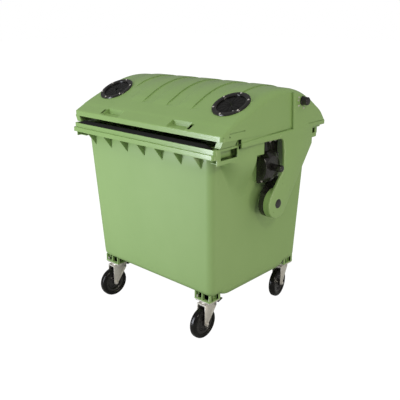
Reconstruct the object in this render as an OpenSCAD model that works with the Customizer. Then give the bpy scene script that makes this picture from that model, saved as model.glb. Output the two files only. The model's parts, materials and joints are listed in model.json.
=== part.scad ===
// Four-wheeled refuse container of about 1100 litres with a roll-back dome lid.
// Millimetres. The origin is on the floor under the middle of the bin, +Z is up and the front faces -Y.

/* [Overall] */
// Depth from the front rim to the back of the lid
depth = 1012; // [990:2:1060]
// Width over the tips of the two lifting trunnions
trunnion_span = 1370; // [1366:1:1378]
// Height of the top of the body rim
rim_z = 1199; // [1190:1:1230]
// Reach of the trunnion tips beyond the body rim
trunnion_reach = 74; // [70:1:80]
// Rise of the lid crown over the top of its lip
crown_rise = 197; // [185:1:220]

/* [Body] */
// Wall of the body and of its rim
tub_wall = 6; // [4:0.5:8]
// Overhang of the rim over the side walls
side_overhang = 62; // [50:1:66]
// Overhang of the rim over the front wall
front_overhang = 59; // [45:1:70]
// Setback of the rear wall from the back of the lid
rear_setback = 17; // [15:1:40]
// Draw-in of each side wall from rim to floor
side_taper = 40; // [20:1:60]
// Draw-in of the front wall from rim to floor
front_taper = 45; // [20:1:60]
// Draw-in of the rear wall from rim to floor
rear_taper = 38; // [20:1:60]
// Radius of the upright corners
corner_r = 50; // [30:1:60]
// Height of the seats that carry the casters under the floor
seat_h = 42; // [38:1:56]
// Radius of the edge between the walls and the floor
floor_edge_r = 36; // [20:1:45]
// Drop of the belly between the casters below the floor
belly_drop = 31; // [20:1:34]
// Height of the front rim
rim_h = 52; // [44:1:60]
// Step between the two bands of the front rim
rim_step = 14; // [8:1:20]
// Corner radius of the rim
rim_corner_r = 22; // [12:1:30]
// Thickness of the flange round the opening
rim_flange_t = 13; // [10:1:15]
// Number of comb ribs under the front rim
comb_count = 7; // [5:1:9]
// Spacing of the comb ribs
comb_pitch = 152; // [120:1:155]
// Height of a comb rib below the rim
comb_drop = 83; // [60:1:100]
// Thickness of a comb rib
comb_t = 8; // [5:1:12]
// Width of the strip on the front rim
seal_w = 22; // [18:1:26]
// Height of the strip on the front rim
seal_h = 20; // [16:1:24]

/* [Handles] */
// Length of a front handle block
handle_l = 206; // [180:2:230]
// Height of a front handle block
handle_h = 74; // [66:1:84]
// Width of the front handle window
window_l = 130; // [110:2:150]
// Height of the handle windows
window_h = 52; // [40:1:56]
// Height of the face of a side shoulder
shoulder_h = 80; // [76:1:92]
// Height of the slope under a side shoulder
shoulder_slope_h = 48; // [36:1:60]
// Length of a rear handle block
rear_handle_l = 190; // [150:2:210]

/* [Lid] */
// Reach of the lid's side panels beyond the body rim
panel_over = 18; // [15:1:21]
// Thickness of the lid wall
lid_wall = 6; // [4:0.5:8]
// Setback of the lid lip from the front rim
lip_setback = 41; // [30:1:50]
// Gap between the rim and the lid lip
lip_gap = 41; // [35:1:50]
// Height of the lid lip
lip_h = 30; // [24:1:40]
// Slope of the front of the lid in degrees
slope_deg = 27; // [25:0.5:29]
// Radius of the crown of the lid
crown_r = 600; // [540:5:640]
// Rounding of the crown towards the sides
crown_edge_r = 40; // [30:1:55]
// Rounding of the front slope towards the sides
slope_edge_r = 14; // [8:1:20]
// Fall of the crown from its middle to its sides
camber = 6; // [0:1:14]
// Number of stiffening ribs over the crown
crown_ribs = 5; // [3:2:5]
// Spacing of the stiffening ribs
crown_rib_pitch = 204; // [180:1:210]
// Width of a stiffening rib
crown_rib_w = 104; // [60:1:120]
// Height of a stiffening rib
crown_rib_h = 6; // [3:0.5:8]
// Distance of the inner ribs' feet up the slope from the lip
crown_rib_up = 185; // [160:1:220]
// Distance of the hand grips from the middle
grip_x = 284; // [240:1:290]
// Width of a hand grip
grip_w = 150; // [130:2:170]
// Depth of a hand grip
grip_d = 65; // [50:1:75]
// Reach of the skirt below the rim
skirt_drop = 15; // [8:1:24]
// Height of the skirt
skirt_h = 38; // [30:1:46]
// Proud face of the skirt, cheek and arm
arm_proud = 16; // [12:1:18]
// Thickness of the arm
arm_t = 20; // [14:1:22]

/* [Lid pivot] */
// Distance of the lid pivot behind the middle of the bin
pivot_y = 25; // [10:1:35]
// Height of the lid pivot
pivot_z = 796; // [780:1:810]
// Radius of the hub at the foot of the arm
hub_r = 90; // [84:1:94]
// Thickness of the hub
hub_t = 45; // [40:1:50]
// Radius of the pivot pin
pivot_r = 15; // [12:0.5:18]
// Wall of the pivot bush
bush_wall = 5; // [3:0.5:7]
// Radius of the pivot cap
cap_r = 28; // [25:0.5:34]

/* [Lifting gear] */
// Radius of a lifting trunnion
trunnion_r = 20; // [18:0.5:22]
// Distance of the trunnions behind the middle of the bin
trunnion_y = -2; // [-12:1:8]
// Drop of the trunnions below the body rim
trunnion_drop = 179; // [172:1:186]
// Radius of the boss that carries a trunnion
trunnion_boss_r = 95; // [86:1:100]
// Distance of the flat front of a side bracket from its trunnion
bracket_front = 64; // [56:1:70]
// Thickness of the plate of a side bracket
bracket_plate_t = 18; // [14:1:24]
// Thickness of the upright of a side bracket
bracket_t = 32; // [26:1:34]
// Radius of a lid opening pin
lid_pin_r = 24; // [20:0.5:28]
// Length of a lid opening pin
lid_pin_l = 36; // [28:1:38]
// Distance of the lid opening pins behind the middle of the bin
lid_pin_y = 233; // [220:1:250]
// Drop of the lid opening pins from the crown
lid_pin_drop = 89; // [85:1:110]

/* [Rosettes] */
// Distance of the rosettes in from the lid's side panels
rosette_inset = 143; // [140:1:170]
// Distance of the rosettes up the slope from the lip
rosette_up = 269; // [250:1:290]
// Outer radius of a rosette ring
rosette_r = 112; // [95:1:114]
// Radius of the opening in a rosette ring
rosette_bore_r = 84; // [70:1:88]
// Height of a rosette ring
rosette_h = 9; // [6:0.5:12]
// Height of the flat seat of a rosette over the slope
rosette_seat_h = 2; // [1:0.5:6]
// Screws in a rosette ring
rosette_screws_n = 6; // [4:1:10]

/* [Casters] */
// Diameter of a wheel
wheel_d = 196; // [190:1:204]
// Width of a tyre
tyre_w = 44; // [40:1:52]
// Height of a caster's fork crown, race and plate over its wheel
caster_head = 44; // [42:1:50]
// Trail of the wheel behind the kingpin
trail = 45; // [38:1:58]
// Distance of the kingpins in from the body rim
kingpin_inset = 194; // [186:1:215]
// Distance of the front kingpins in from the front rim
front_kingpin_inset = 161; // [150:1:176]
// Distance of the rear kingpins in from the back of the lid
rear_kingpin_inset = 102; // [96:1:126]
// Width of a caster plate
plate_w = 122; // [116:1:134]
// Length of a caster plate
plate_l = 100; // [96:1:112]
// Thickness of a caster plate
plate_t = 6; // [5:0.5:8]
// Radius of a kingpin
kingpin_r = 8; // [6:0.5:10]
// Radius of a wheel axle
axle_r = 7; // [6:0.5:9]

/* [Drain] */
// Radius of the drain in the floor
drain_r = 30; // [20:1:40]
// Distance of the drain in front of the middle
drain_front = 60; // [0:1:120]

/* [Hidden] */
$fn = 48;

// Clearance of a turning pin in its bore, of a fixed pin in its bore and between faces that pass
run_fit = 0.05;
fixed_fit = 0.02;
face_gap = 0.4;
pass_gap = 2;
// Overlap that joins two shapes of one piece
sink = 2;
cut = 1;

GREEN = [0.47, 0.62, 0.36];
BLACK = [0.07, 0.07, 0.075];
ZINC = [0.74, 0.73, 0.70];
STEEL = [0.55, 0.56, 0.57];

// Body outline
front_y = -depth / 2;
back_y = depth / 2;
rim_half = trunnion_span / 2 - trunnion_reach;
caster_h = wheel_d + caster_head;
floor_z = caster_h + seat_h;
belly_z = floor_z - belly_drop;
tub_half = rim_half - side_overhang;
tub_front = front_y + front_overhang;
tub_back = back_y - rear_setback;
rim_back = tub_back + 3;
tub_h = rim_z - floor_z;
rim_low = rim_z - rim_h;
handle_low = rim_z - handle_h;
// Front handle: place of its window, sill under the window and depth of the panel behind it
handle_window_y = front_y + 60;
window_sill = handle_low + 10;
handle_panel_x = rim_half - 30;
trunnion_z = rim_z - trunnion_drop;
bracket_recess = 24;
shoulder_face = rim_z - shoulder_h;
shoulder_low = shoulder_face - shoulder_slope_h;
shoulder_back = trunnion_y - bracket_front - bracket_recess;

function down(z) = (rim_z - z) / tub_h;
function tub_x(z) = tub_half - side_taper * down(z);
function tub_front_y(z) = tub_front + front_taper * down(z);
function tub_back_y(z) = tub_back - rear_taper * down(z);

// Casters: position and resting turn of each one
kingpin_x = rim_half - kingpin_inset;
front_kingpin = depth / 2 - front_kingpin_inset;
rear_kingpin = depth / 2 - rear_kingpin_inset;
trail_turn = [-4, 1, 0, 11];
caster_at = [[-kingpin_x, -front_kingpin], [kingpin_x, -front_kingpin],
             [-kingpin_x, rear_kingpin], [kingpin_x, rear_kingpin]];
wheel_r = wheel_d / 2;
plate_low = caster_h - plate_t;
race_t = 6;
race_r = 36;
race_low = plate_low - race_t;
fork_top = race_low - face_gap;
fork_web_t = 15;
fork_low = fork_top - fork_web_t;
cheek_t = 5;
hub_half = tyre_w / 2 + 5;
cheek_in = hub_half + 1;
cheek_out = cheek_in + cheek_t;
bolt_dx = plate_w / 2 - 14;
bolt_dy = plate_l / 2 - 12;
bolt_r = 5;
bolt_grip = 24;
brake_y = 34;
brake_z = fork_low - 13;
brake_pin_r = 5;

// Side bracket and lid pivot
pad_x = tub_half + 1;
bracket_x = pad_x + bracket_t;
panel_half = rim_half + panel_over;
arm_x = panel_half + arm_proud;
arm_in = arm_x - arm_t;
hub_in = arm_x - hub_t;
boss_x = hub_in - pass_gap;
shoulder_x = arm_in - 6;
bracket_low = trunnion_z - trunnion_boss_r;
upright_y0 = trunnion_y - 0.33 * trunnion_boss_r;
upright_y1 = trunnion_y + 0.92 * trunnion_boss_r;
upright_top = rim_z - 22;
bracket_back = trunnion_y + 1.26 * trunnion_boss_r;
bracket_shelf = trunnion_z + 0.62 * trunnion_boss_r;
strap_left = [trunnion_y + 0.44 * trunnion_boss_r, bracket_low + 8];
strap_right = [bracket_back - 2, bracket_low + 8];
boss_cone_t = 0.28 * trunnion_boss_r;
boss_face_r = 0.68 * trunnion_boss_r;
pivot_neck_r = 0.44 * hub_r;
// Bolts of a side bracket: place from the trunnion and thickness that they clamp
bracket_bolt_at = [[-0.43 * trunnion_boss_r, -0.88 * trunnion_boss_r, bracket_plate_t],
                   [0.13 * trunnion_boss_r, upright_top - trunnion_z - 11, bracket_t],
                   [0.66 * trunnion_boss_r, upright_top - trunnion_z - 11, bracket_t]];
bracket_bolt_head_r = 10;
bracket_bolt_r = 6;
bracket_bolt_way = 80;
spigot_r = trunnion_r - 4;

// Lid profile: a straight front slope, a crown arc and a tighter arc down the back
lip_y = front_y + lip_setback;
lip_low = rim_z + lip_gap;
lip_top = lip_low + lip_h;
crown_z = lip_top + crown_rise;
lid_pin_z = crown_z - lid_pin_drop;
flange_low = rim_z + 6;
flange_top = flange_low + 28;
crown_drop = crown_r * (1 - cos(slope_deg));
crown_y = lip_y + (crown_z - crown_drop - lip_top) / tan(slope_deg) + crown_r * sin(slope_deg);
turn_deg = 5;
turn_at = [crown_y + crown_r * sin(turn_deg), crown_z - crown_r * (1 - cos(turn_deg))];
turn_dir = [sin(turn_deg), cos(turn_deg)];
back_span = [back_y, flange_top] - turn_at;
back_r = -(back_span * back_span) / (2 * (back_span * turn_dir));
back_mid = turn_at - back_r * turn_dir;
back_deg = atan2(back_y - back_mid[0], flange_top - back_mid[1]);
arc_steps = 8;
back_steps = 12;
edge_steps = 5;

skirt_low = rim_z - skirt_drop;
skirt_top = skirt_low + skirt_h;
skirt_front = front_y + 201;
cheek_y = pivot_y + 115;
arm_front = pivot_y + 38;
arm_back = pivot_y + 335;
arm_back_z = pivot_z + 309;
window_r = 25;
groove = 7;

// Outline of the lid in the plane of its sides, drawn in from the crown and from the slope
function lid_arc(t, in_crown, in_slope) =
    let (k = (t + slope_deg) / (slope_deg + turn_deg), in = in_slope + (in_crown - in_slope) * k)
    [crown_y + (crown_r - in) * sin(t), crown_z - crown_r + (crown_r - in) * cos(t)];
function lid_back(t, in_crown, keep) =
    let (k = (t - turn_deg) / (back_deg - turn_deg), in = keep + (in_crown - keep) * (1 - 0.8 * k * k))
    back_mid + (back_r - in) * [sin(t), cos(t)];
function lid_outline(in_crown, in_slope, low_front, low_back, keep = 0) = concat(
    [[back_y - keep - 0.2 * (in_crown - keep), low_back], [lip_y + in_slope, low_front],
     [lip_y + in_slope, lip_top - 0.3 * in_slope]],
    [for (i = [0:arc_steps])
        lid_arc(-slope_deg + i * (slope_deg + turn_deg) / arc_steps, in_crown, in_slope)],
    [for (i = [1:back_steps])
        lid_back(turn_deg + i * (back_deg - turn_deg) / back_steps, in_crown, keep)]);

// Point on the slope, measured up from the lip and out from the slope
function on_slope(up, out = 0) =
    [lip_y + up * cos(slope_deg) - out * sin(slope_deg),
     lip_top + up * sin(slope_deg) + out * cos(slope_deg)];
// Point where a line from p runs into the hub near its edge, on the left of the way there or on the right
function on_hub(p, side) =
    let (r = hub_r - 1.5, way = [pivot_y, pivot_z] - p,
         a = atan2(way[1], way[0]) + side * asin(r / norm(way)))
    p + sqrt(way * way - r * r) * [cos(a), sin(a)];
rosette_x = panel_half - rosette_inset;
rosette_at = on_slope(rosette_up);
rosette_screw_r = (rosette_r + rosette_bore_r) / 2 + 2.5;

// Extrudes an outline drawn in the Y-Z plane along X
module along_x(x, l) {
    translate([x, 0, 0]) rotate([90, 0, 90]) linear_extrude(l) children();
}
module rod_x(x, l, r, y, z) {
    translate([x, y, z]) rotate([0, 90, 0]) cylinder(h = l, r = r);
}
module block(x0, x1, y0, y1, z0, z1) {
    translate([x0, y0, z0]) cube([x1 - x0, y1 - y0, z1 - z0]);
}
module on_side(left) {
    mirror([left ? 1 : 0, 0, 0]) children();
}
module both_sides() {
    for (left = [false, true]) on_side(left) children();
}
module at_rosette(left) {
    on_side(left) translate([rosette_x, rosette_at[0], rosette_at[1]]) rotate([slope_deg, 0, 0])
        translate([0, 0, rosette_seat_h]) children();
}
module at_caster(i) {
    translate([caster_at[i][0], caster_at[i][1], 0]) rotate([0, 0, trail_turn[i]]) children();
}
module rounded_plan(x, y0, y1, r, z0, z1) {
    translate([0, 0, z0]) linear_extrude(z1 - z0) {
        translate([-x + r, y0]) square([2 * (x - r), y1 - y0]);
        translate([-x, y0 + r]) square([2 * x, y1 - y0 - 2 * r]);
        for (sx = [-1, 1], y = [y0 + r, y1 - r]) translate([sx * (x - r), y]) circle(r);
    }
}

// Body
module tub_ring(z, in) {
    r = max(corner_r - in, 8);
    for (sx = [-1, 1], y = [tub_front_y(z) + in + r, tub_back_y(z) - in - r])
        translate([sx * (tub_x(z) - in - r), y, z]) cylinder(h = 0.1, r = r, $fn = 32);
}
module tub_form(in, top) {
    low = floor_z + in;
    hull() {
        tub_ring(low, in + 0.85 * floor_edge_r);
        tub_ring(low + 0.18 * floor_edge_r, in + 0.43 * floor_edge_r);
        tub_ring(low + 0.5 * floor_edge_r, in + 0.13 * floor_edge_r);
        tub_ring(low + floor_edge_r, in);
        tub_ring(top, in);
    }
}
module belly_form(in) {
    top = floor_z + floor_edge_r;
    y0 = -front_kingpin + plate_l / 2 + 28;
    y1 = rear_kingpin - plate_l / 2 - 60;
    hull() {
        for (step = [[belly_z + in, 30], [belly_z + in + 8, 8], [top, 0]])
            rounded_plan(tub_x(floor_z) - in - step[1], y0 + in + step[1], y1 - in - step[1], 20,
                         step[0], step[0] + 0.1);
    }
}
module front_rim() {
    w = tub_wall;
    upper = front_y + rim_step;
    band = rim_z - rim_h / 2;
    intersection() {
        along_x(-rim_half, 2 * rim_half) polygon([
            [tub_front + w, rim_z], [upper, rim_z], [upper, band], [front_y, band], [front_y, rim_low],
            [front_y + w, rim_low], [front_y + w, band - w], [upper + w, band - w],
            [upper + w, rim_z - w], [tub_front + w, rim_z - w]]);
        rounded_plan(rim_half, front_y, rim_back, rim_corner_r, rim_low - cut, rim_z + cut);
    }
}
module comb_rib(x) {
    tip = rim_low - comb_drop;
    along_x(x - comb_t / 2, comb_t) polygon([
        [front_y + tub_wall + 1, rim_low + 6], [front_y + rim_step + tub_wall + 1, rim_z - tub_wall + 1],
        [tub_front + sink, rim_z - tub_wall + 1], [tub_front_y(tip) + sink, tip],
        [front_y + tub_wall + 1, rim_low - 4]]);
}
// Opening of a front handle in the skin of the rim, as deep as asked
module handle_window(deep) {
    block(rim_half - deep, rim_half + cut, handle_window_y, handle_window_y + window_l,
          window_sill, window_sill + window_h);
}
module handle_front() {
    y0 = front_y + rim_step + rim_corner_r;
    y1 = front_y + handle_l;
    side_gap = 30;
    floor_gap = 12;
    difference() {
        block(rim_half - tub_wall, rim_half, y0, y1, handle_low, rim_z);
        handle_window(2 * tub_wall);
    }
    block(tub_half - sink, rim_half, y1 - tub_wall, y1, handle_low, rim_z);
    block(tub_half - sink, rim_half - tub_wall, y0, y0 + tub_wall, handle_low, rim_z);
    block(handle_panel_x - tub_wall, handle_panel_x, y0, handle_window_y + window_l - side_gap,
          window_sill + floor_gap, rim_z - 3);
}
module handle_rear() {
    y1 = rim_back - 6;
    y0 = y1 - rear_handle_l;
    difference() {
        block(rim_half - tub_wall, rim_half, y0, y1, rim_low, rim_z);
        block(rim_half - 20, rim_half + cut, y0 + 30, y1 - 46, rim_low + 9, rim_z - rim_flange_t);
    }
    for (y = [y0, y1 - tub_wall])
        block(tub_half - 30, rim_half, y, y + tub_wall, rim_low, rim_z);
}
module bracket_pad() {
    edge = 4;
    y0 = trunnion_y - bracket_front + edge;
    y1 = bracket_back - edge;
    low = bracket_low + edge;
    shelf = bracket_shelf - edge;
    top = upright_top - edge;
    root = tub_x(pivot_z) - 30;
    along_x(root, pad_x - root) {
        translate([pivot_y, pivot_z]) circle(pivot_neck_r - edge);
        polygon([[y0, low], [y1, low], [y1, shelf], [upright_y1 - edge, top], [upright_y0 + edge, top],
                 [upright_y0 + edge, shelf], [y0, shelf]]);
    }
}
// Hollow shoulders that carry the side walls out to the rim in front of the side brackets
module shoulder_form(in) {
    r = corner_r - in;
    hull() {
        for (step = [[shoulder_low, tub_x(shoulder_low)], [shoulder_face, rim_half],
                     [rim_z - rim_flange_t + cut, rim_half]], sx = [-1, 1])
            translate([sx * (step[1] - in - r), tub_front_y(step[0]) + in + r, step[0]]) {
                cylinder(h = 0.1, r = r);
                translate([-r, 0, 0]) cube([2 * r, shoulder_back - tub_front_y(step[0]) - in - r, 0.1]);
            }
    }
}
module side_shoulders() {
    difference() {
        shoulder_form(0);
        translate([0, cut, 0]) shoulder_form(tub_wall);
        both_sides() handle_window(rim_half - handle_panel_x - cut);
    }
}
module caster_seat(i) {
    w = plate_w / 2;
    l = plate_l / 2;
    wall = 7;
    bay = (plate_w - 3 * wall) / 2;
    translate([caster_at[i][0], caster_at[i][1], 0])
    difference() {
        block(-w, w, -l, l, caster_h, floor_z + 14);
        for (x = [-w + wall, wall / 2])
            block(x, x + bay, -l - cut, -l + 20, caster_h + 8, floor_z + 2);
        for (side = [-1, 1])
            translate([side * (w - 8), 0, 0])
                block(-8 - cut, 8 + cut, -l + 30, l - 30, caster_h + 8, floor_z + 2);
        for (x = [-bolt_dx, bolt_dx], y = [-bolt_dy, bolt_dy])
            translate([x, y, caster_h - cut]) cylinder(h = bolt_grip + cut + 1, r = bolt_r + fixed_fit);
    }
}
module tub() {
    color(GREEN) difference() {
        union() {
            tub_form(0, rim_z - tub_wall);
            belly_form(0);
            rounded_plan(rim_half, front_y + rim_step, rim_back, rim_corner_r, rim_z - rim_flange_t, rim_z);
            front_rim();
            for (i = [0:comb_count - 1]) comb_rib((i - (comb_count - 1) / 2) * comb_pitch);
            both_sides() {
                handle_front();
                handle_rear();
                bracket_pad();
            }
            side_shoulders();
            for (i = [0:3]) caster_seat(i);
        }
        tub_form(tub_wall, rim_z + 10);
        belly_form(tub_wall);
        translate([0, -drain_front, belly_z - cut]) cylinder(h = tub_wall + 2 * cut, r = drain_r);
        both_sides() for (p = bracket_bolt_at)
            rod_x(tub_half - bracket_bolt_way / 2, bracket_bolt_way, bracket_bolt_r + fixed_fit,
                  trunnion_y + p[0], trunnion_z + p[1]);
    }
}

// Rubber strip that lies on the front rim under the lid lip
module front_seal() {
    inset = 36;
    half = rim_half - inset;
    y0 = front_y + rim_step + 5;
    color(BLACK) along_x(-half, 2 * half) polygon([
        [y0, rim_z], [y0 + seal_w, rim_z], [y0 + seal_w, rim_z + 0.3 * seal_h],
        [y0 + 0.6 * seal_w, rim_z + seal_h], [y0 + 0.23 * seal_w, rim_z + seal_h],
        [y0, rim_z + 0.6 * seal_h]]);
}

// Side bracket that carries a trunnion and the lid pivot
module side_bracket(left) {
    front = trunnion_y - bracket_front;
    strap_in = 8;
    strap_t = 24;
    boss_in = 17;
    color(BLACK) on_side(left) difference() {
        union() {
            // Plate on the wall and upright under the rim
            along_x(pad_x, bracket_plate_t) polygon([
                [front, bracket_low], [bracket_back, bracket_low], [bracket_back, bracket_shelf],
                [front, bracket_shelf]]);
            along_x(pad_x, bracket_t) polygon([
                [upright_y0, trunnion_z], [upright_y1, trunnion_z], [upright_y1, upright_top],
                [upright_y0, upright_top]]);
            // Boss of the trunnion with a conical edge
            rod_x(pad_x, shoulder_x - boss_cone_t - pad_x, trunnion_boss_r, trunnion_y, trunnion_z);
            translate([shoulder_x - boss_cone_t, trunnion_y, trunnion_z]) rotate([0, 90, 0])
                cylinder(h = boss_cone_t, r1 = trunnion_boss_r, r2 = boss_face_r);
            // Strap to the lid pivot, with the pivot's boss and its neck
            along_x(pad_x + strap_in, strap_t) polygon([
                strap_left, on_hub(strap_left, -1), [pivot_y, pivot_z],
                on_hub(strap_right, 1), strap_right]);
            rod_x(pad_x + boss_in, boss_x - pad_x - boss_in, hub_r, pivot_y, pivot_z);
            rod_x(pad_x, boss_in + sink, pivot_neck_r, pivot_y, pivot_z);
        }
        block(pad_x - cut, shoulder_x + cut, front - trunnion_boss_r, front, bracket_low - cut,
              trunnion_z + trunnion_boss_r + cut);
        block(pad_x - cut, shoulder_x + cut, front - cut, upright_y0 - 2, bracket_shelf,
              trunnion_z + trunnion_boss_r + cut);
        rod_x(bracket_x, shoulder_x - bracket_x + cut, spigot_r + fixed_fit, trunnion_y, trunnion_z);
        rod_x(pad_x + 6, boss_x, pivot_r + fixed_fit, pivot_y, pivot_z);
        for (p = bracket_bolt_at) {
            y = trunnion_y + p[0];
            z = trunnion_z + p[1];
            rod_x(pad_x - cut, p[2] + 2 * cut, bracket_bolt_r + fixed_fit, y, z);
            rod_x(pad_x + p[2], shoulder_x - pad_x, bracket_bolt_head_r + 2, y, z);
        }
    }
}
module trunnion(left) {
    tip = 5;
    l = trunnion_span / 2 - shoulder_x;
    color(BLACK) on_side(left) {
        rod_x(bracket_x, shoulder_x - bracket_x + cut, spigot_r, trunnion_y, trunnion_z);
        translate([shoulder_x, trunnion_y, trunnion_z]) rotate([0, 90, 0]) {
            cylinder(h = l - tip, r = trunnion_r);
            translate([0, 0, l - tip]) cylinder(h = tip, r1 = trunnion_r, r2 = trunnion_r - tip);
        }
    }
}
module bracket_bolts() {
    head_t = 6;
    for (left = [false, true], p = bracket_bolt_at) {
        color(ZINC) on_side(left) {
            y = trunnion_y + p[0];
            z = trunnion_z + p[1];
            face = pad_x + p[2];
            nut = tub_x(z) - 14;
            rod_x(face, head_t, bracket_bolt_head_r, y, z);
            rod_x(nut, face - nut + 1, bracket_bolt_r, y, z);
            rod_x(nut, head_t, bracket_bolt_head_r, y, z);
        }
    }
}
module lid_pivot(left) {
    head_t = 8;
    color(STEEL) on_side(left) {
        rod_x(pad_x + 6, arm_x - 18 - pad_x - 6, pivot_r, pivot_y, pivot_z);
        rod_x(arm_x - 18, head_t, pivot_r + 7, pivot_y, pivot_z);
    }
}

// Lid
module lid_form(in, low_front, low_back) {
    half = panel_half - in;
    hull() {
        for (side = [-1, 1], i = [0:edge_steps]) {
            a = 90 * i / edge_steps;
            x = half - crown_edge_r * (1 - cos(a));
            fall = 1 - sin(a);
            translate([side * x, 0, 0]) along_x(-0.05, 0.1) polygon(lid_outline(
                in + crown_edge_r * fall + camber, in + slope_edge_r * fall, low_front, low_back, in));
        }
        for (side = [-1, 0, 1])
            translate([side * half / 2, 0, 0]) along_x(-0.05, 0.1)
                polygon(lid_outline(in + camber * side * side / 4, in, low_front, low_back, in));
    }
}
module crown_rib(x) {
    steps = 14;
    fade = 20;
    root = -4.5;
    on_front = abs(x) < rosette_x - rosette_r - crown_rib_w / 2;
    first = on_front ? -slope_deg : -slope_deg + 10.5;
    last = back_deg - 14;
    function at(i, out) = let (t = first + i * (last - first) / steps)
        t < turn_deg ? lid_arc(t, -out, -out) : lid_back(t, -out, -out);
    foot = on_front ? [on_slope(crown_rib_up, -1), on_slope(crown_rib_up + fade, crown_rib_h)] : [at(0, -1)];
    heel = on_front ? [at(0, root), on_slope(crown_rib_up, root)] : [at(0, root)];
    along_x(x - crown_rib_w / 2, crown_rib_w) polygon(concat(
        foot, [for (i = [1:steps - 1]) at(i, crown_rib_h)], [at(steps, -1)],
        [for (i = [steps:-1:1]) at(i, root)], heel));
}
module grip_cut(x, wall, up) {
    block(x - grip_w / 2 - wall, x + grip_w / 2 + wall, lip_y - cut, lip_y + grip_d + wall,
          lip_top + 2 - wall, lip_top + up);
}
module lid_side() {
    knee = [arm_front + 8, trunnion_z - 16];
    skirt_end = arm_front + 40;
    // Panel strip behind the skirt, and the skirt itself, which widens towards the arm
    block(panel_half - lid_wall, panel_half, skirt_front, back_y - 40, skirt_low + 8, lip_low + 20);
    translate([0, 0, skirt_low]) linear_extrude(skirt_h) polygon([
        [arm_in, skirt_front], [panel_half + 2, skirt_front], [arm_x, skirt_end], [arm_in, skirt_end]]);
    // Raised cheek that follows the back of the dome
    intersection() {
        along_x(panel_half - lid_wall, arm_x - panel_half + lid_wall)
            polygon(lid_outline(crown_edge_r + camber, slope_edge_r, skirt_low, flange_low));
        block(panel_half - 20, arm_x + cut, cheek_y, back_y, skirt_low, crown_z);
    }
    // Arm from the cheek down to the hub
    along_x(arm_in, arm_t) {
        polygon([
            [arm_front, skirt_top], [arm_front, skirt_low - window_r], knee, on_hub(knee, -1),
            [pivot_y, pivot_z], on_hub([arm_back, arm_back_z], 1),
            [arm_back, arm_back_z], [arm_back, flange_low], [arm_back - 40, skirt_top]]);
        difference() {
            translate([arm_front - window_r, skirt_low - window_r]) square(window_r + sink);
            translate([arm_front - window_r, skirt_low - window_r]) circle(window_r);
        }
    }
    rod_x(hub_in, hub_t, hub_r, pivot_y, pivot_z);
    // Slanted web that closes the corner under the lip
    translate([0, lip_y + 4, 0]) rotate([90, 0, 180]) mirror([1, 0, 0]) linear_extrude(88)
        polygon([[panel_half, lip_low + 4], [panel_half, lip_low - 6], [panel_half - 30, lip_low - 37],
                 [panel_half - 38, lip_low - 31], [panel_half - 8, lip_low + 4]]);
}
module lid() {
    slot_x = grip_x + grip_w / 2 + 20;
    slot_at = on_slope(41);
    slot_w = 10;
    slot_l = 32;
    color(GREEN) difference() {
        union() {
            difference() {
                union() {
                    lid_form(0, lip_low, flange_low);
                    for (i = [0:crown_ribs - 1]) crown_rib((i - (crown_ribs - 1) / 2) * crown_rib_pitch);
                }
                difference() {
                    lid_form(lid_wall, lip_low - 200, flange_low - 200);
                    for (x = [-grip_x, grip_x]) grip_cut(x, 4, 50);
                }
                for (x = [-grip_x, grip_x]) grip_cut(x, 0, 60);
            }
            both_sides() lid_side();
            for (left = [false, true])
                at_rosette(left) translate([0, 0, -12]) cylinder(h = 12, r = rosette_r + 3);
        }
        for (left = [false, true]) {
            at_rosette(left) translate([0, 0, -40]) cylinder(h = 60, r = rosette_bore_r + 6);
            on_side(left) {
                rod_x(hub_in - cut, hub_t + 2 * cut, pivot_r + bush_wall + fixed_fit, pivot_y, pivot_z);
                rod_x(arm_x - 20, 20 + cut, cap_r + fixed_fit, pivot_y, pivot_z);
                block(panel_half - 3, panel_half + cut, skirt_front + 35, cheek_y,
                      skirt_top, skirt_top + groove);
                block(panel_half - 3, panel_half + cut, lip_y + 40, skirt_front + 24,
                      lip_top + 8, lip_top + 8 + groove);
                translate([slot_x, slot_at[0], slot_at[1]]) rotate([slope_deg, 0, 0])
                    block(-slot_w / 2, slot_w / 2, -slot_l / 2, slot_l / 2, -20, 20);
            }
        }
    }
}
module pivot_bush(left) {
    color(BLACK) on_side(left) difference() {
        rod_x(hub_in, hub_t - 20, pivot_r + bush_wall, pivot_y, pivot_z);
        rod_x(hub_in - cut, hub_t, pivot_r + run_fit, pivot_y, pivot_z);
    }
}
module pivot_cap(left) {
    rim_t = 7;
    color(BLACK) on_side(left) {
        rod_x(arm_x - rim_t, rim_t, cap_r, pivot_y, pivot_z);
        translate([arm_x, pivot_y, pivot_z]) rotate([0, 90, 0])
            cylinder(h = 3, r1 = cap_r - 1, r2 = cap_r - 9);
    }
}
module lid_pin(left) {
    foot_r = lid_pin_r + 4;
    foot_t = 4;
    tip = 4;
    color(BLACK) on_side(left) translate([arm_x, lid_pin_y, lid_pin_z]) rotate([0, 90, 0]) {
        cylinder(h = foot_t, r = foot_r);
        cylinder(h = foot_t + lid_pin_l - tip, r = lid_pin_r);
        translate([0, 0, foot_t + lid_pin_l - tip]) cylinder(h = tip, r1 = lid_pin_r, r2 = lid_pin_r - tip);
    }
}
module lid_pin_screws() {
    ring_r = lid_pin_r + 22;
    for (left = [false, true], a = [150, 172, 212, 287])
        color(ZINC) on_side(left)
            translate([arm_x, lid_pin_y + ring_r * cos(a), lid_pin_z + ring_r * sin(a)]) rotate([0, 90, 0])
                cylinder(h = 3.5, r1 = 6, r2 = 4);
}

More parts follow.
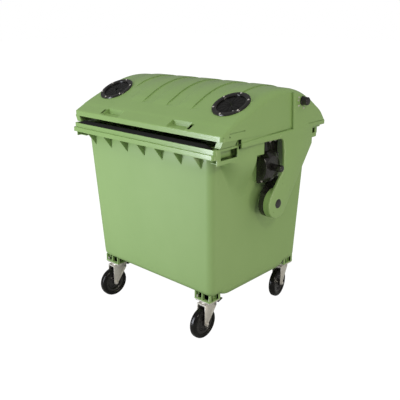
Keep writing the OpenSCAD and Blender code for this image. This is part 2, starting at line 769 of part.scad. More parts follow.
// Rosette: a rubber flap ring clamped under a screwed ring
module rosette_ring(left) {
    color(BLACK) at_rosette(left) rotate_extrude($fn = 64) polygon([
        [rosette_bore_r, 0], [rosette_r, 0], [rosette_r, rosette_h - 4], [rosette_r - 6, rosette_h],
        [rosette_bore_r + 5, rosette_h], [rosette_bore_r, rosette_h - 5]]);
}
module rosette_membrane(left) {
    slits = 6;
    t = 3;
    color(BLACK) at_rosette(left) difference() {
        translate([0, 0, -t]) cylinder(h = t, r = rosette_bore_r + 5.7);
        for (i = [0:slits - 1]) rotate([0, 0, 180 * i / slits])
            block(-rosette_bore_r + 16, rosette_bore_r - 16, -0.4, 0.4, -t - cut, cut);
    }
}
module rosette_screws() {
    for (left = [false, true], i = [0:rosette_screws_n - 1])
        color(ZINC) at_rosette(left) rotate([0, 0, 360 * (i + 0.5) / rosette_screws_n])
            translate([rosette_screw_r, 0, rosette_h]) cylinder(h = 3, r1 = 5.5, r2 = 3.5);
}

// Drain
module drain_plug() {
    color(BLACK) translate([0, -drain_front, 0]) {
        translate([0, 0, belly_z - 10]) cylinder(h = 8, r = drain_r + 9);
        translate([0, 0, belly_z - 3]) cylinder(h = 13, r = drain_r - face_gap);
        block(-drain_r + 4, drain_r - 4, -4, 4, belly_z - 18, belly_z - 9);
    }
}
module drain_seal() {
    color(BLACK) translate([0, -drain_front, belly_z - 2 + 0.05]) difference() {
        cylinder(h = 1.95, r = drain_r + 7);
        translate([0, 0, -cut]) cylinder(h = 4, r = drain_r + 0.1);
    }
}

// Casters
module caster_plate(i) {
    color(ZINC) translate([caster_at[i][0], caster_at[i][1], 0]) difference() {
        union() {
            rounded_plan(plate_w / 2, -plate_l / 2, plate_l / 2, 9, plate_low, caster_h);
            translate([0, 0, race_low]) cylinder(h = race_t + sink, r1 = race_r, r2 = race_r + 3);
        }
        translate([0, 0, race_low - cut])
            cylinder(h = plate_t + race_t + 2 * cut, r = kingpin_r + fixed_fit);
        for (x = [-bolt_dx, bolt_dx], y = [-bolt_dy, bolt_dy])
            translate([x, y, plate_low - cut]) cylinder(h = plate_t + 2 * cut, r = bolt_r + fixed_fit);
    }
}
module caster_bolts() {
    head_t = 5;
    for (i = [0:3], x = [-bolt_dx, bolt_dx], y = [-bolt_dy, bolt_dy])
        color(ZINC) translate([caster_at[i][0] + x, caster_at[i][1] + y, plate_low - head_t]) {
            cylinder(h = head_t, r = 8.5, $fn = 6);
            cylinder(h = head_t + plate_t + bolt_grip, r = bolt_r);
        }
}
module caster_kingpin(i) {
    head_t = 7;
    color(STEEL) at_caster(i) {
        translate([0, 0, fork_low - face_gap - head_t]) cylinder(h = head_t, r = kingpin_r + 5);
        translate([0, 0, fork_low - face_gap - 1])
            cylinder(h = caster_h - fork_low + face_gap + 0.5, r = kingpin_r);
    }
}
module caster_fork(i) {
    eye_r = axle_r + 8;
    web_y0 = -trail - eye_r + 3;
    web_y1 = brake_y + 12;
    color(ZINC) at_caster(i) difference() {
        union() {
            translate([0, 0, fork_low]) cylinder(h = fork_web_t, r = race_r + 6);
            block(-cheek_out, cheek_out, web_y0, web_y1, fork_low, fork_low + 8);
            for (x = [-cheek_out, cheek_in]) along_x(x, cheek_t) {
                polygon([[web_y0, fork_low + 8], [web_y1, fork_low + 8], [web_y1, brake_z - 9],
                         [eye_r * 0.85 - trail, wheel_r - eye_r * 0.52], [-eye_r - trail, wheel_r]]);
                translate([-trail, wheel_r]) circle(eye_r);
            }
        }
        translate([0, 0, fork_low - cut]) cylinder(h = fork_web_t + 2 * cut, r = kingpin_r + run_fit);
        rod_x(-cheek_out - cut, 2 * cheek_out + 2 * cut, axle_r + fixed_fit, -trail, wheel_r);
        rod_x(-cheek_out - cut, 2 * cheek_out + 2 * cut, brake_pin_r + fixed_fit, brake_y, brake_z);
    }
}
module wheel_axle(i) {
    color(ZINC) at_caster(i) {
        rod_x(-cheek_out - 1, 2 * cheek_out + 2, axle_r, -trail, wheel_r);
        for (x = [-cheek_out - 9, cheek_out])
            translate([x, -trail, wheel_r]) rotate([0, 90, 0]) cylinder(h = 9, r = axle_r + 5, $fn = 6);
        rod_x(cheek_out, 13, axle_r - 1, -trail, wheel_r);
    }
}
module wheel_place(i) {
    at_caster(i) translate([0, -trail, wheel_r]) rotate([0, 90, 0]) children();
}
rim_r = wheel_r - 30;
module wheel_rim(i) {
    color(BLACK) wheel_place(i) difference() {
        union() {
            translate([0, 0, -hub_half]) cylinder(h = 2 * hub_half, r = axle_r + 14);
            rotate_extrude($fn = 64) polygon([
                [axle_r + 8, -9], [rim_r - 16, -6], [rim_r - 12, -17], [rim_r - face_gap / 8, -17],
                [rim_r - face_gap / 8, 17], [rim_r - 12, 17], [rim_r - 16, 6], [axle_r + 8, 9]]);
        }
        translate([0, 0, -hub_half - cut]) cylinder(h = 2 * hub_half + 2 * cut, r = axle_r + run_fit);
    }
}
module wheel_tyre(i) {
    shoulder = 11;
    half = tyre_w / 2;
    color(BLACK) wheel_place(i) rotate_extrude($fn = 64) {
        translate([rim_r, -19]) square([8, 38]);
        translate([rim_r + 6, -half]) square([wheel_r - rim_r - 6 - shoulder, tyre_w]);
        translate([rim_r + 6, -half + shoulder]) square([wheel_r - rim_r - 6, tyre_w - 2 * shoulder]);
        for (side = [-1, 1]) translate([wheel_r - shoulder, side * (half - shoulder)]) circle(shoulder);
    }
}
module brake_pedal(i) {
    tread_w = 80;
    neck_w = 2 * cheek_in - 6;
    reach = 62;
    color(BLACK) at_caster(i) difference() {
        translate([0, brake_y, brake_z]) union() {
            rod_x(-neck_w / 2, neck_w, brake_pin_r + 3.5, 0, 0);
            rotate([15, 0, 0]) {
                block(-neck_w / 2 + 1, neck_w / 2 - 1, brake_pin_r + 1, 30, -1, 5);
                block(-tread_w / 2, tread_w / 2, 21, reach, 0, 6);
                for (y = [32:9:50]) block(-tread_w / 2 + 6, tread_w / 2 - 6, y, y + 4, 3, 8);
            }
        }
        rod_x(-neck_w, 2 * neck_w, brake_pin_r + run_fit, brake_y, brake_z);
    }
}
module brake_pin(i) {
    color(STEEL) at_caster(i) {
        rod_x(-cheek_out - 2, 2 * cheek_out + 4, brake_pin_r, brake_y, brake_z);
        for (x = [-cheek_out - 3, cheek_out]) rod_x(x, 3, brake_pin_r + 2.5, brake_y, brake_z);
    }
}

tub();
front_seal();
side_bracket(true);  // side_bracket_left
side_bracket(false);  // side_bracket_right
trunnion(true);  // trunnion_left
trunnion(false);  // trunnion_right
bracket_bolts();
lid_pivot(true);  // lid_pivot_left
lid_pivot(false);  // lid_pivot_right
lid();
pivot_bush(true);  // pivot_bush_left
pivot_bush(false);  // pivot_bush_right
pivot_cap(true);  // pivot_cap_left
pivot_cap(false);  // pivot_cap_right
lid_pin(true);  // lid_pin_left
lid_pin(false);  // lid_pin_right
lid_pin_screws();
rosette_ring(true);  // rosette_ring_left
rosette_ring(false);  // rosette_ring_right
rosette_membrane(true);  // rosette_membrane_left
rosette_membrane(false);  // rosette_membrane_right
rosette_screws();
drain_plug();
drain_seal();
caster_bolts();
brake_pedal(0);  // brake_pedal_front_left
brake_pedal(1);  // brake_pedal_front_right
brake_pin(0);  // brake_pin_front_left
brake_pin(1);  // brake_pin_front_right
PLACES = ["front_left", "front_right", "rear_left", "rear_right"];
for (i = [0:3]) {
    caster_plate(i);
    caster_kingpin(i);
    caster_fork(i);
    wheel_axle(i);
    wheel_rim(i);
    wheel_tyre(i);
}
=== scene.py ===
"""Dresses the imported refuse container: moulded green body and dome lid, black fittings, zinc plated casters.

Shapes are written in millimetres and turned into metres as each mesh is made.
"""
import json
from math import asin, atan2, cos, degrees, hypot, pi, radians, sin, tan

import bmesh
import bpy
from mathutils import Matrix, Vector


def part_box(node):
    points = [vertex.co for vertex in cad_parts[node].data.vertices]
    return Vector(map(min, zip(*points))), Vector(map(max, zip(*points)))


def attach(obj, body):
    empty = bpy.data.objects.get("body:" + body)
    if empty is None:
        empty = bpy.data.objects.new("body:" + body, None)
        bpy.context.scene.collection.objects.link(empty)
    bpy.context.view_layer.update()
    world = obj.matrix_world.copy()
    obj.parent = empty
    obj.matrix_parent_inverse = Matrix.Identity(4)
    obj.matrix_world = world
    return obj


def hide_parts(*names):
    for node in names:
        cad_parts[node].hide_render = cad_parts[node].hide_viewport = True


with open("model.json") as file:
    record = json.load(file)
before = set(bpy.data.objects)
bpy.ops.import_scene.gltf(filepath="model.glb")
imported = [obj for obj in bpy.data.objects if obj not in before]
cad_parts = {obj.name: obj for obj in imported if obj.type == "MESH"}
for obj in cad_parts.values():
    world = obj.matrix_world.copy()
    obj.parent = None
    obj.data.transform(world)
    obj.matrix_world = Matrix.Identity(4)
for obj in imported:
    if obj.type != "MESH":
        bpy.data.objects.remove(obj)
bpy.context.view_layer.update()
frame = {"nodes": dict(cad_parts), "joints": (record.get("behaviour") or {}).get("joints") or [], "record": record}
SCENE = bpy.context.scene
MM = 0.001
SIDES = {-1: "left", 1: "right"}
PLACES = ("front_left", "front_right", "rear_left", "rear_right")


def node_box(node):
    """Lowest and highest corner of a CAD node in millimetres."""
    low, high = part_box(node)
    return low / MM, high / MM


# Sizes taken from the frame
TUB_LOW, TUB_HIGH = node_box("tub")
LID_LOW, LID_HIGH = node_box("lid")
FRONT_Y = TUB_LOW.y
RIM_X = TUB_HIGH.x - 8
RIM_Z = TUB_HIGH.z
RIM_BACK = TUB_HIGH.y
ARM_X = LID_HIGH.x
LIP_Y = LID_LOW.y
BACK_Y = LID_HIGH.y

# Body
WALL = 6
TUB_X = RIM_X - 62
TUB_FRONT = FRONT_Y + 59
TUB_BACK = RIM_BACK - 3
FLOOR_Z = 282
BELLY_Z = 251
SIDE_TAPER = 40
FRONT_TAPER = 45
REAR_TAPER = 38
CORNER_R = 50
FLOOR_EDGE = 36
RIM_CORNER = 16
RIM_STEP = 14
RIM_LOW = RIM_Z - 52
RIM_MID = RIM_Z - 26
HANDLE_LOW = RIM_Z - 86
REAR_LOW = RIM_Z - 74
WINDOW_LOW = RIM_Z - 64
FLANGE_T = 13
WINDOW_Y = (FRONT_Y + 60, FRONT_Y + 197)
NOTCH_Y = (FRONT_Y + 206, FRONT_Y + 228)
POST_Y = FRONT_Y + 186
SHOULDER_X = RIM_X + 14
SHOULDER_FRONT = -420
SHOULDER_END = -150
SHOULDER_BACK = -90
SHOULDER_H = 260
SHOULDER_T = 3
SHOULDER_SHARP = 60
REAR_CORNER = 26
REAR_BLOCK_Y = (296, 476)
REAR_WINDOW_Y = (326, 450)
COMB_COUNT = 7
COMB_PITCH = 152
COMB_H = 83
BELLY_Y = (-322, 330)
BELLY_TUCK = (120, 110)
BELLY_EDGE = 22
BELLY_CORNER = 30
CASTER_X = 417
CASTER_Y = (-345, 404)
SEAT_HALF = (61, 50)
SEAT_LOW = 240

# Lid
PANEL_X = ARM_X - 16
ARM_T = 20
LIP_LOW = RIM_Z + 41
LIP_TOP = LIP_LOW + 30
LIP_ROUND = 9
SLOPE = radians(27)
CROWN_R = 600
CROWN_Z = 1467
FLANGE_LOW = RIM_Z + 6
FLANGE_TOP = FLANGE_LOW + 28
TURN = radians(5)
CAMBER = 6
LID_WALL = 5
LIP_SIDE_R = 8
LIP_CORNER = 20
SLOPE_SIDE_R = 14
CROWN_SIDE_R = 42
BAND_UP = 78
BAND_RISE = 2.2
RIB_COUNT = 5
RIB_PITCH = 204
RIB_W = 104
RIB_H = 6
RIB_RISE = 16
RIB_GROOVE = 4
RIB_CUT = 3
RIB_START = -315
OUTER_RIB_START = -180
RIB_RUN = 60
RIB_END = (330, 400)
GRIP_X = 284
GRIP_W = 150
GRIP_BACK = LIP_Y + 65
SKIRT_LOW = RIM_Z - 15
SKIRT_TOP = SKIRT_LOW + 38
SKIRT_FRONT = FRONT_Y + 201
SKIRT_BACK = 466
CHEEK_Y = 142
CHEEK_LEAN = 14
CREASE = 5
UPPER_CREASE_Y = (-405, -278)
LOWER_CREASE_Y = -265
SIDE_HOLE = (-404, 1259.3)
CHEEK_GROOVE_Y = 304
ARM_HOLES = ((64, 913), (109, 886), (143, 853), (-19, 752))
SEAL_STEPS = 80
SEAL_ENDS = (0.08, 0.3, 0.6, 0.85, 1.0)

# Pivot, lifting gear and rosettes
PIVOT = (25, 796)
HUB_R = 90
HUB_T = 45
TRUNNION = (-2, 1020)
ROSETTE_X = 486
ROSETTE_UP = 269
ROSETTE_R = 112
ROSETTE_HOLE = 90
FLAP_R = 89
FLAP_COUNT = 12
FLAP_RING = 0.01
FLAP_HALF_DEG = 14.6
SCREW_COUNT = 6
SCREW_R = 100.5

# Smooth shading and bevels start at these angles, in degrees
SHARP = 32
BEVEL_ANGLE = 40


# Materials

class Value:
    """A shader socket that can stand in a sum, with numbers or with other sockets."""

    def __init__(self, finish, socket):
        self.finish = finish
        self.socket = socket

    def sum_of(self, operation, first, second):
        """Adds a Math node for two values."""
        return self.finish.node("ShaderNodeMath", {"operation": operation}, {0: first, 1: second})

    def __add__(self, other):
        return self.sum_of("ADD", self, other)

    def __radd__(self, other):
        return self.sum_of("ADD", other, self)

    def __mul__(self, other):
        return self.sum_of("MULTIPLY", self, other)

    def __rmul__(self, other):
        return self.sum_of("MULTIPLY", other, self)


class Finish:
    """A material under construction, with one Principled shader."""

    def __init__(self, name, **constants):
        self.material = bpy.data.materials.new(name)
        self.material.use_nodes = True
        self.tree = self.material.node_tree
        self.tree.nodes.clear()
        self.shader = self.tree.nodes.new("ShaderNodeBsdfPrincipled")
        output = self.tree.nodes.new("ShaderNodeOutputMaterial")
        self.tree.links.new(self.shader.outputs[0], output.inputs["Surface"])
        for socket, value in constants.items():
            self.set(socket.replace("_", " ").title(), value)

    def put(self, socket, value):
        """Links a value to a socket, or writes a number or colour into it."""
        if isinstance(value, Value):
            self.tree.links.new(value.socket, socket)
        else:
            socket.default_value = value

    def set(self, socket, value):
        """Gives one socket of the shader a number, a colour or a link."""
        name = socket.replace("Ior", "IOR")
        self.put(self.shader.inputs[name], value)

    def node(self, kind, settings=None, inputs=None, out=0):
        """A node of any kind with its settings, then the values or links of its inputs."""
        made = self.tree.nodes.new(kind)
        for key, value in (settings or {}).items():
            if key == "stops":
                self.set_stops(made.color_ramp, value)
            else:
                setattr(made, key, value)
        for key, value in (inputs or {}).items():
            self.put(made.inputs[key], value)
        return Value(self, made.outputs[out])

    @staticmethod
    def set_stops(ramp, stops):
        """Grey levels of a colour ramp."""
        while len(ramp.elements) < len(stops):
            ramp.elements.new(0.5)
        for element, (place, level) in zip(ramp.elements, stops):
            element.position = place
            element.color = (level, level, level, 1)

    def place(self):
        """Object coordinates."""
        return self.node("ShaderNodeTexCoord", out="Object")

    def place_parts(self):
        """Object coordinates as three numbers."""
        parts = self.node("ShaderNodeSeparateXYZ", None, {0: self.place()})
        return [Value(self, socket) for socket in parts.socket.node.outputs]

    def noise(self, scale, detail=3.0, roughness=0.5, stretch=None):
        """Noise in Object coordinates; a stretch below 1 draws it out along X, Y or Z."""
        where = self.place()
        if stretch:
            where = self.node("ShaderNodeMapping", None, {"Vector": where, "Scale": stretch})
        return self.node("ShaderNodeTexNoise", None, {
            "Vector": where, "Scale": scale, "Detail": detail, "Roughness": roughness})

    def ramp(self, value, *stops):
        """A value led through grey levels, each with its place."""
        return self.node("ShaderNodeValToRGB", {"stops": stops}, {"Fac": value})

    def mix(self, fac, first, second):
        """A blend of two colours."""
        return self.node("ShaderNodeMix", {"data_type": "RGBA"}, {0: fac, 6: first, 7: second}, out=2)

    def bump(self, height, distance, strength, under=None):
        """A normal raised by a height in metres, over another one where it is given."""
        inputs = {"Height": height, "Distance": distance, "Strength": strength}
        if under:
            inputs["Normal"] = under
        return self.node("ShaderNodeBump", None, inputs)


def moulded_green():
    """Polyethylene with a fine mould grain, faint flow marks and pale scuffs."""
    f = Finish("moulded_green", specular_ior_level=0.85)
    flow = f.noise(2.4, 2.0, 0.5, (1.0, 1.0, 0.45))
    cloud = f.noise(9.0, 3.0)
    scuff = f.ramp(f.noise(46.0, 5.0, 0.62, (1.0, 1.0, 0.3)), (0.62, 0), (0.74, 1))
    patch = f.ramp(f.noise(3.1, 2.0), (0.5, 0), (0.72, 1))
    wear = scuff * patch * 0.16
    plain = f.mix(f.ramp(flow, (0.3, 0), (0.7, 1)), (0.218, 0.345, 0.106, 1), (0.236, 0.366, 0.118, 1))
    clouded = f.mix(cloud * 0.22, plain, (0.19, 0.325, 0.098, 1))
    f.set("Base Color", f.mix(wear, clouded, (0.37, 0.49, 0.27, 1)))
    x, _, z = f.place_parts()
    across = f.node("ShaderNodeMath", {"operation": "ABSOLUTE"}, {0: x})
    wall = f.ramp(across, (0.57, 1), (0.595, 0)) * f.ramp(z * 0.5, (0.53, 1), (0.57, 0))
    f.set("Roughness", 0.26 + wall * 0.32 + cloud * 0.08 + wear * 0.5)
    grain = f.noise(700.0, 2.0, 0.6)
    swell = f.noise(5.0, 1.0)
    f.set("Normal", f.bump(grain, 0.0004, 0.22, f.bump(swell, 0.004, 0.16)))
    return f.material


def moulded_black():
    """Satin black moulding with a leathery grain and a grey bloom."""
    f = Finish("moulded_black", specular_ior_level=0.65)
    bloom = f.ramp(f.noise(24.0, 4.0), (0.45, 0), (0.75, 1))
    f.set("Base Color", f.mix(bloom * 0.5, (0.0105, 0.0095, 0.0085, 1), (0.026, 0.024, 0.0215, 1)))
    f.set("Roughness", 0.2 + bloom * 0.14)
    f.set("Normal", f.bump(f.noise(520.0, 2.0), 0.0004, 0.25))
    return f.material


def rubber_black(name, roughness, gloss=0.36):
    """Rubber with dust in its pores."""
    f = Finish(name, specular_ior_level=gloss)
    dust = f.ramp(f.noise(60.0, 5.0, 0.65), (0.5, 0), (0.8, 1))
    f.set("Base Color", f.mix(dust * 0.5, (0.0032, 0.0028, 0.0023, 1), (0.0095, 0.008, 0.0066, 1)))
    f.set("Roughness", roughness + dust * 0.2)
    f.set("Normal", f.bump(f.noise(420.0, 3.0), 0.0005, 0.3))
    return f.material


def zinc_plate():
    """Pressed sheet with a warm zinc coat, drawn lines and dull spots."""
    f = Finish("zinc_plate", metallic=0.6)
    spangle = f.noise(55.0, 4.0)
    lines = f.noise(240.0, 2.0, 0.5, (1.0, 1.0, 0.06))
    dull = f.ramp(f.noise(16.0, 3.0), (0.45, 0), (0.7, 1))
    bright = f.mix(f.ramp(spangle, (0.35, 0), (0.65, 1)), (0.62, 0.59, 0.53, 1), (0.74, 0.71, 0.65, 1))
    f.set("Base Color", f.mix(dull * 0.4, bright, (0.5, 0.47, 0.42, 1)))
    f.set("Roughness", 0.36 + lines * 0.12 + dull * 0.12)
    f.set("Normal", f.bump(lines, 0.0003, 0.2))
    return f.material


def turned_steel():
    """Turned steel with tool marks."""
    f = Finish("turned_steel", metallic=1.0)
    marks = f.noise(400.0, 2.0, 0.5, (1.0, 0.08, 0.08))
    f.set("Base Color", f.mix(marks, (0.4, 0.4, 0.41, 1), (0.56, 0.56, 0.57, 1)))
    f.set("Roughness", 0.28 + marks * 0.14)
    f.set("Normal", f.bump(marks, 0.0002, 0.2))
    return f.material


GREEN = moulded_green()
BLACK = moulded_black()
RUBBER = rubber_black("flap_rubber", 0.3)
SEAL = rubber_black("seal_rubber", 0.6)
TYRE = rubber_black("tyre_rubber", 0.2, 0.34)
ZINC = zinc_plate()
STEEL = turned_steel()


# Outlines

def arc(centre, r, start, end, steps):
    """Points on a circle from one angle in degrees to another."""
    return [(centre[0] + r * cos(radians(start + (end - start) * i / steps)),
             centre[1] + r * sin(radians(start + (end - start) * i / steps))) for i in range(steps + 1)]


def rounded_box(x0, x1, y0, y1, r, steps=8):
    """Outline of a box with round corners, counter-clockwise from the right of its lower side."""
    return (arc((x1 - r, y0 + r), r, -90, 0, steps) + arc((x1 - r, y1 - r), r, 0, 90, steps)
            + arc((x0 + r, y1 - r), r, 90, 180, steps) + arc((x0 + r, y0 + r), r, 180, 270, steps))


def inset_directions(outline):
    """For each point of a closed counter-clockwise outline, the step that moves its edges in by one."""
    count = len(outline)
    steps = []
    for i, point in enumerate(outline):
        here = Vector(point)
        before = (here - Vector(outline[i - 1])).normalized()
        after = (Vector(outline[(i + 1) % count]) - here).normalized()
        normal = Vector((-before.y - after.y, before.x + after.x))
        size = normal.length
        steps.append(normal * (2 / max(size * size, 0.6)))
    return steps


def tangent_point(start, centre, r, side):
    """Where a line from start touches a circle; side is 1 to touch on the left of the way there."""
    dy, dz = centre[0] - start[0], centre[1] - start[1]
    far = hypot(dy, dz)
    angle = atan2(dz, dy) + side * asin(r / far)
    reach = (far * far - r * r) ** 0.5
    return start[0] + reach * cos(angle), start[1] + reach * sin(angle)


def ease(value, low, high):
    """Smooth step from 0 at low to 1 at high."""
    t = min(max((value - low) / (high - low), 0), 1)
    return t * t * (3 - 2 * t)


# Meshes

class Form:
    """Vertices and faces of one piece, in millimetres."""

    def __init__(self):
        self.verts = []
        self.faces = []

    def add(self, points):
        """Adds points and gives their numbers."""
        start = len(self.verts)
        self.verts.extend(tuple(p) for p in points)
        return list(range(start, len(self.verts)))

    def strip(self, first, second, closed=True):
        """Faces between two rows with as many points."""
        count = len(first)
        for i in range(count if closed else count - 1):
            j = (i + 1) % count
            self.faces.append((first[i], first[j], second[j], second[i]))

    def loft(self, rings, caps=True, closed=True, loop=False):
        """Joins rings of points, each with as many points, and closes both ends."""
        rows = [self.add(ring) for ring in rings]
        for first, second in zip(rows, rows[1:]):
            self.strip(first, second, closed)
        if loop:
            self.strip(rows[-1], rows[0], closed)
        elif caps:
            self.faces.append(tuple(reversed(rows[0])))
            self.faces.append(tuple(rows[-1]))

    def plate(self, outline, low, high, r=2.0, lay="x", steps=3, weights=None):
        """A plate with rounded edges. Its outline lies across X as (y, z) or across Z as (x, y)."""
        put = (lambda a, b, h: (h, a, b)) if lay == "x" else (lambda a, b, h: (a, b, h))
        inward = inset_directions(outline)
        weights = weights or [1.0] * len(outline)
        rings = []
        for end in (0, 1):
            for i in range(steps + 1):
                a = pi / 2 * (i if end else steps - i) / steps
                ring = []
                for (p, q), step, weight in zip(outline, inward, weights):
                    rr = min(r * weight, (high - low) / 2.01)
                    move = rr * (1 - cos(a))
                    rise = rr * (1 - sin(a))
                    h = high - rise if end else low + rise
                    ring.append(put(p + step.x * move, q + step.y * move, h))
                rings.append(ring)
        self.loft(rings)

    def drill(self, r, half, centre, axis=(1, 0, 0), steps=48):
        """A round bar that cuts a hole; half is its reach to either side of the centre."""
        self.turned([(0.01, -half), (r, -half), (r, half), (0.01, half)], centre, axis, steps)

    def turned(self, profile, centre=(0, 0, 0), axis=(0, 0, 1), steps=48):
        """A closed (radius, height) profile turned about an axis through a centre."""
        tip = Vector((0, 0, 1)).rotation_difference(Vector(axis)).to_matrix()
        rows = []
        for i in range(steps):
            a = 2 * pi * i / steps
            rows.append([tip @ Vector((r * cos(a), r * sin(a), h)) + Vector(centre) for r, h in profile])
        self.loft(rows, loop=True)

    def block(self, low, high, r=1.5):
        """A box between two corners, with rounded edges above and below."""
        outline = [(low[0], low[1]), (high[0], low[1]), (high[0], high[1]), (low[0], high[1])]
        self.plate(outline, low[2], high[2], r, "z", 2)

    def mirrored(self):
        """Adds the mirror image in the Y-Z plane."""
        count = len(self.verts)
        self.verts.extend([(-x, y, z) for x, y, z in self.verts])
        self.faces.extend([tuple(i + count for i in reversed(face)) for face in list(self.faces)])

    def build(self, name, material, sharp=SHARP):
        """The finished piece, in metres."""
        mesh = bpy.data.meshes.new(name)
        mesh.from_pydata([(x * MM, y * MM, z * MM) for x, y, z in self.verts], [], self.faces)
        return dress(mesh, name, material, sharp)


def smooth(mesh, sharp):
    """Smooth shading, apart from edges over the sharp angle."""
    mesh.polygons.foreach_set("use_smooth", [True] * len(mesh.polygons))
    mesh.set_sharp_from_angle(angle=radians(sharp))


def dress(mesh, name, material, sharp=SHARP):
    """Merges doubles, drops loose points, turns faces outwards, smooths the mesh and makes the object."""
    bm = bmesh.new()
    bm.from_mesh(mesh)
    bmesh.ops.remove_doubles(bm, verts=bm.verts, dist=1e-5)
    bmesh.ops.dissolve_degenerate(bm, edges=bm.edges, dist=1e-6)
    loose = [vert for vert in bm.verts if not vert.link_faces]
    bmesh.ops.delete(bm, geom=loose, context="VERTS")
    bmesh.ops.recalc_face_normals(bm, faces=bm.faces)
    bm.to_mesh(mesh)
    bm.free()
    mesh.materials.clear()
    mesh.materials.append(material)
    smooth(mesh, sharp)
    piece = bpy.data.objects.new(name, mesh)
    SCENE.collection.objects.link(piece)
    return piece


def plain_mesh(piece):
    """A plain mesh of a piece as its modifiers leave it."""
    shown = piece.evaluated_get(bpy.context.evaluated_depsgraph_get())
    return bpy.data.meshes.new_from_object(shown)


def settled(piece, sharp=SHARP):
    """Applies a piece's modifiers to its mesh."""
    mesh = plain_mesh(piece)
    old = piece.data
    piece.modifiers.clear()
    piece.data = mesh
    mesh.name = old.name
    bpy.data.meshes.remove(old)
    smooth(mesh, sharp)
    return piece


def thickened(piece, wall, even=False, sharp=SHARP):
    """Gives a skin its wall, measured inwards."""
    solid = piece.modifiers.new("wall", "SOLIDIFY")
    solid.thickness = wall * MM
    solid.offset = -1
    solid.use_even_offset = even
    return settled(piece, sharp)


def carve(piece, tool, operation="DIFFERENCE"):
    """Cuts a piece with a tool, or joins them, and removes the tool."""
    modifier = piece.modifiers.new("carve", "BOOLEAN")
    modifier.operation = operation
    modifier.solver = "EXACT"
    modifier.object = tool
    settled(piece)
    bpy.data.objects.remove(tool)
    return piece


def soften(piece, width, segments=2):
    """Rounds a piece's edges."""
    bevel = piece.modifiers.new("soften", "BEVEL")
    bevel.width = width * MM
    bevel.segments = segments
    bevel.limit_method = "ANGLE"
    bevel.angle_limit = radians(BEVEL_ANGLE)
    return settled(piece)


def seat(piece, body, *nodes):
    """The piece moves with a body and stands for CAD nodes, which it hides."""
    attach(piece, body)
    if nodes:
        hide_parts(*nodes)


# Repeats

PATTERNS = {
    "row": ("GeometryNodeMeshLine", {"Count": "NodeSocketInt", "Offset": "NodeSocketVector"}),
    "ring": ("GeometryNodeMeshCircle", {"Vertices": "NodeSocketInt", "Radius": "NodeSocketFloat"}),
}


def repeat_tree(pattern):
    """A tree that sets one shape on every point of a pattern and puts the whole in place."""
    kind, sizes = PATTERNS[pattern]
    tree = bpy.data.node_groups.new(f"repeat_{pattern}", "GeometryNodeTree")
    sockets = {"Shape": "NodeSocketObject", **sizes, "Turn": "NodeSocketRotation",
               "Place": "NodeSocketVector", "Finish": "NodeSocketMaterial"}
    for name, socket in sockets.items():
        tree.interface.new_socket(name, in_out="INPUT", socket_type=socket)
    tree.interface.new_socket("Geometry", in_out="OUTPUT", socket_type="NodeSocketGeometry")
    given = tree.nodes.new("NodeGroupInput")
    result = tree.nodes.new("NodeGroupOutput")
    points = tree.nodes.new(kind)
    shape = tree.nodes.new("GeometryNodeObjectInfo")
    set_on = tree.nodes.new("GeometryNodeInstanceOnPoints")
    moved = tree.nodes.new("GeometryNodeTransform")
    real = tree.nodes.new("GeometryNodeRealizeInstances")
    coat = tree.nodes.new("GeometryNodeSetMaterial")
    for name in sizes:
        tree.links.new(given.outputs[name], points.inputs[name])
    tree.links.new(given.outputs["Shape"], shape.inputs["Object"])
    tree.links.new(points.outputs["Mesh"], set_on.inputs["Points"])
    tree.links.new(shape.outputs["Geometry"], set_on.inputs["Instance"])
    tree.links.new(set_on.outputs["Instances"], moved.inputs["Geometry"])
    tree.links.new(given.outputs["Place"], moved.inputs["Translation"])
    tree.links.new(given.outputs["Turn"], moved.inputs["Rotation"])
    tree.links.new(moved.outputs["Geometry"], real.inputs["Geometry"])
    tree.links.new(real.outputs["Geometry"], coat.inputs["Geometry"])
    tree.links.new(given.outputs["Finish"], coat.inputs["Material"])
    if pattern == "ring":
        where = tree.nodes.new("GeometryNodeInputPosition")
        outward = tree.nodes.new("FunctionNodeAlignRotationToVector")
        outward.axis = "X"
        outward.pivot_axis = "Z"
        tree.links.new(where.outputs[0], outward.inputs["Vector"])
        tree.links.new(outward.outputs[0], set_on.inputs["Rotation"])
    tree.links.new(coat.outputs["Geometry"], result.inputs["Geometry"])
    return tree


TREES = {pattern: repeat_tree(pattern) for pattern in PATTERNS}


def repeat(name, shape, pattern, place, turn=(0, 0, 0), **sizes):
    """One mesh of a shape set on every point of a pattern.

    The place is in millimetres, the turn in radians and the sizes in metres.
    """
    tree = TREES[pattern]
    carrier = bpy.data.objects.new(name, bpy.data.meshes.new(name))
    SCENE.collection.objects.link(carrier)
    modifier = carrier.modifiers.new("repeat", "NODES")
    modifier.node_group = tree
    values = {"Shape": shape, "Finish": shape.data.materials[0], "Place": [p * MM for p in place],
              "Turn": [float(a) for a in turn]}
    for key, value in sizes.items():
        values[key.title()] = value
    for item in tree.interface.items_tree:
        if item.in_out == "INPUT" and item.name in values:
            modifier[item.identifier] = values[item.name]
    carrier.data.update()
    mesh = plain_mesh(carrier)
    bpy.data.objects.remove(carrier)
    return mesh


def taken(*pieces):
    """Meshes of pieces that are no longer needed by themselves."""
    meshes = []
    for piece in pieces:
        meshes.append(piece.data.copy())
        bpy.data.objects.remove(piece)
    return meshes


def gathered(name, meshes, material):
    """Joins meshes into one piece."""
    bm = bmesh.new()
    for mesh in meshes:
        bm.from_mesh(mesh)
        bpy.data.meshes.remove(mesh)
    joined = bpy.data.meshes.new(name)
    bm.to_mesh(joined)
    bm.free()
    return dress(joined, name, material)


# Body

def down(z):
    """How far down the wall a height lies, from 0 at the rim to 1 at the floor."""
    return (RIM_Z - z) / (RIM_Z - FLOOR_Z)


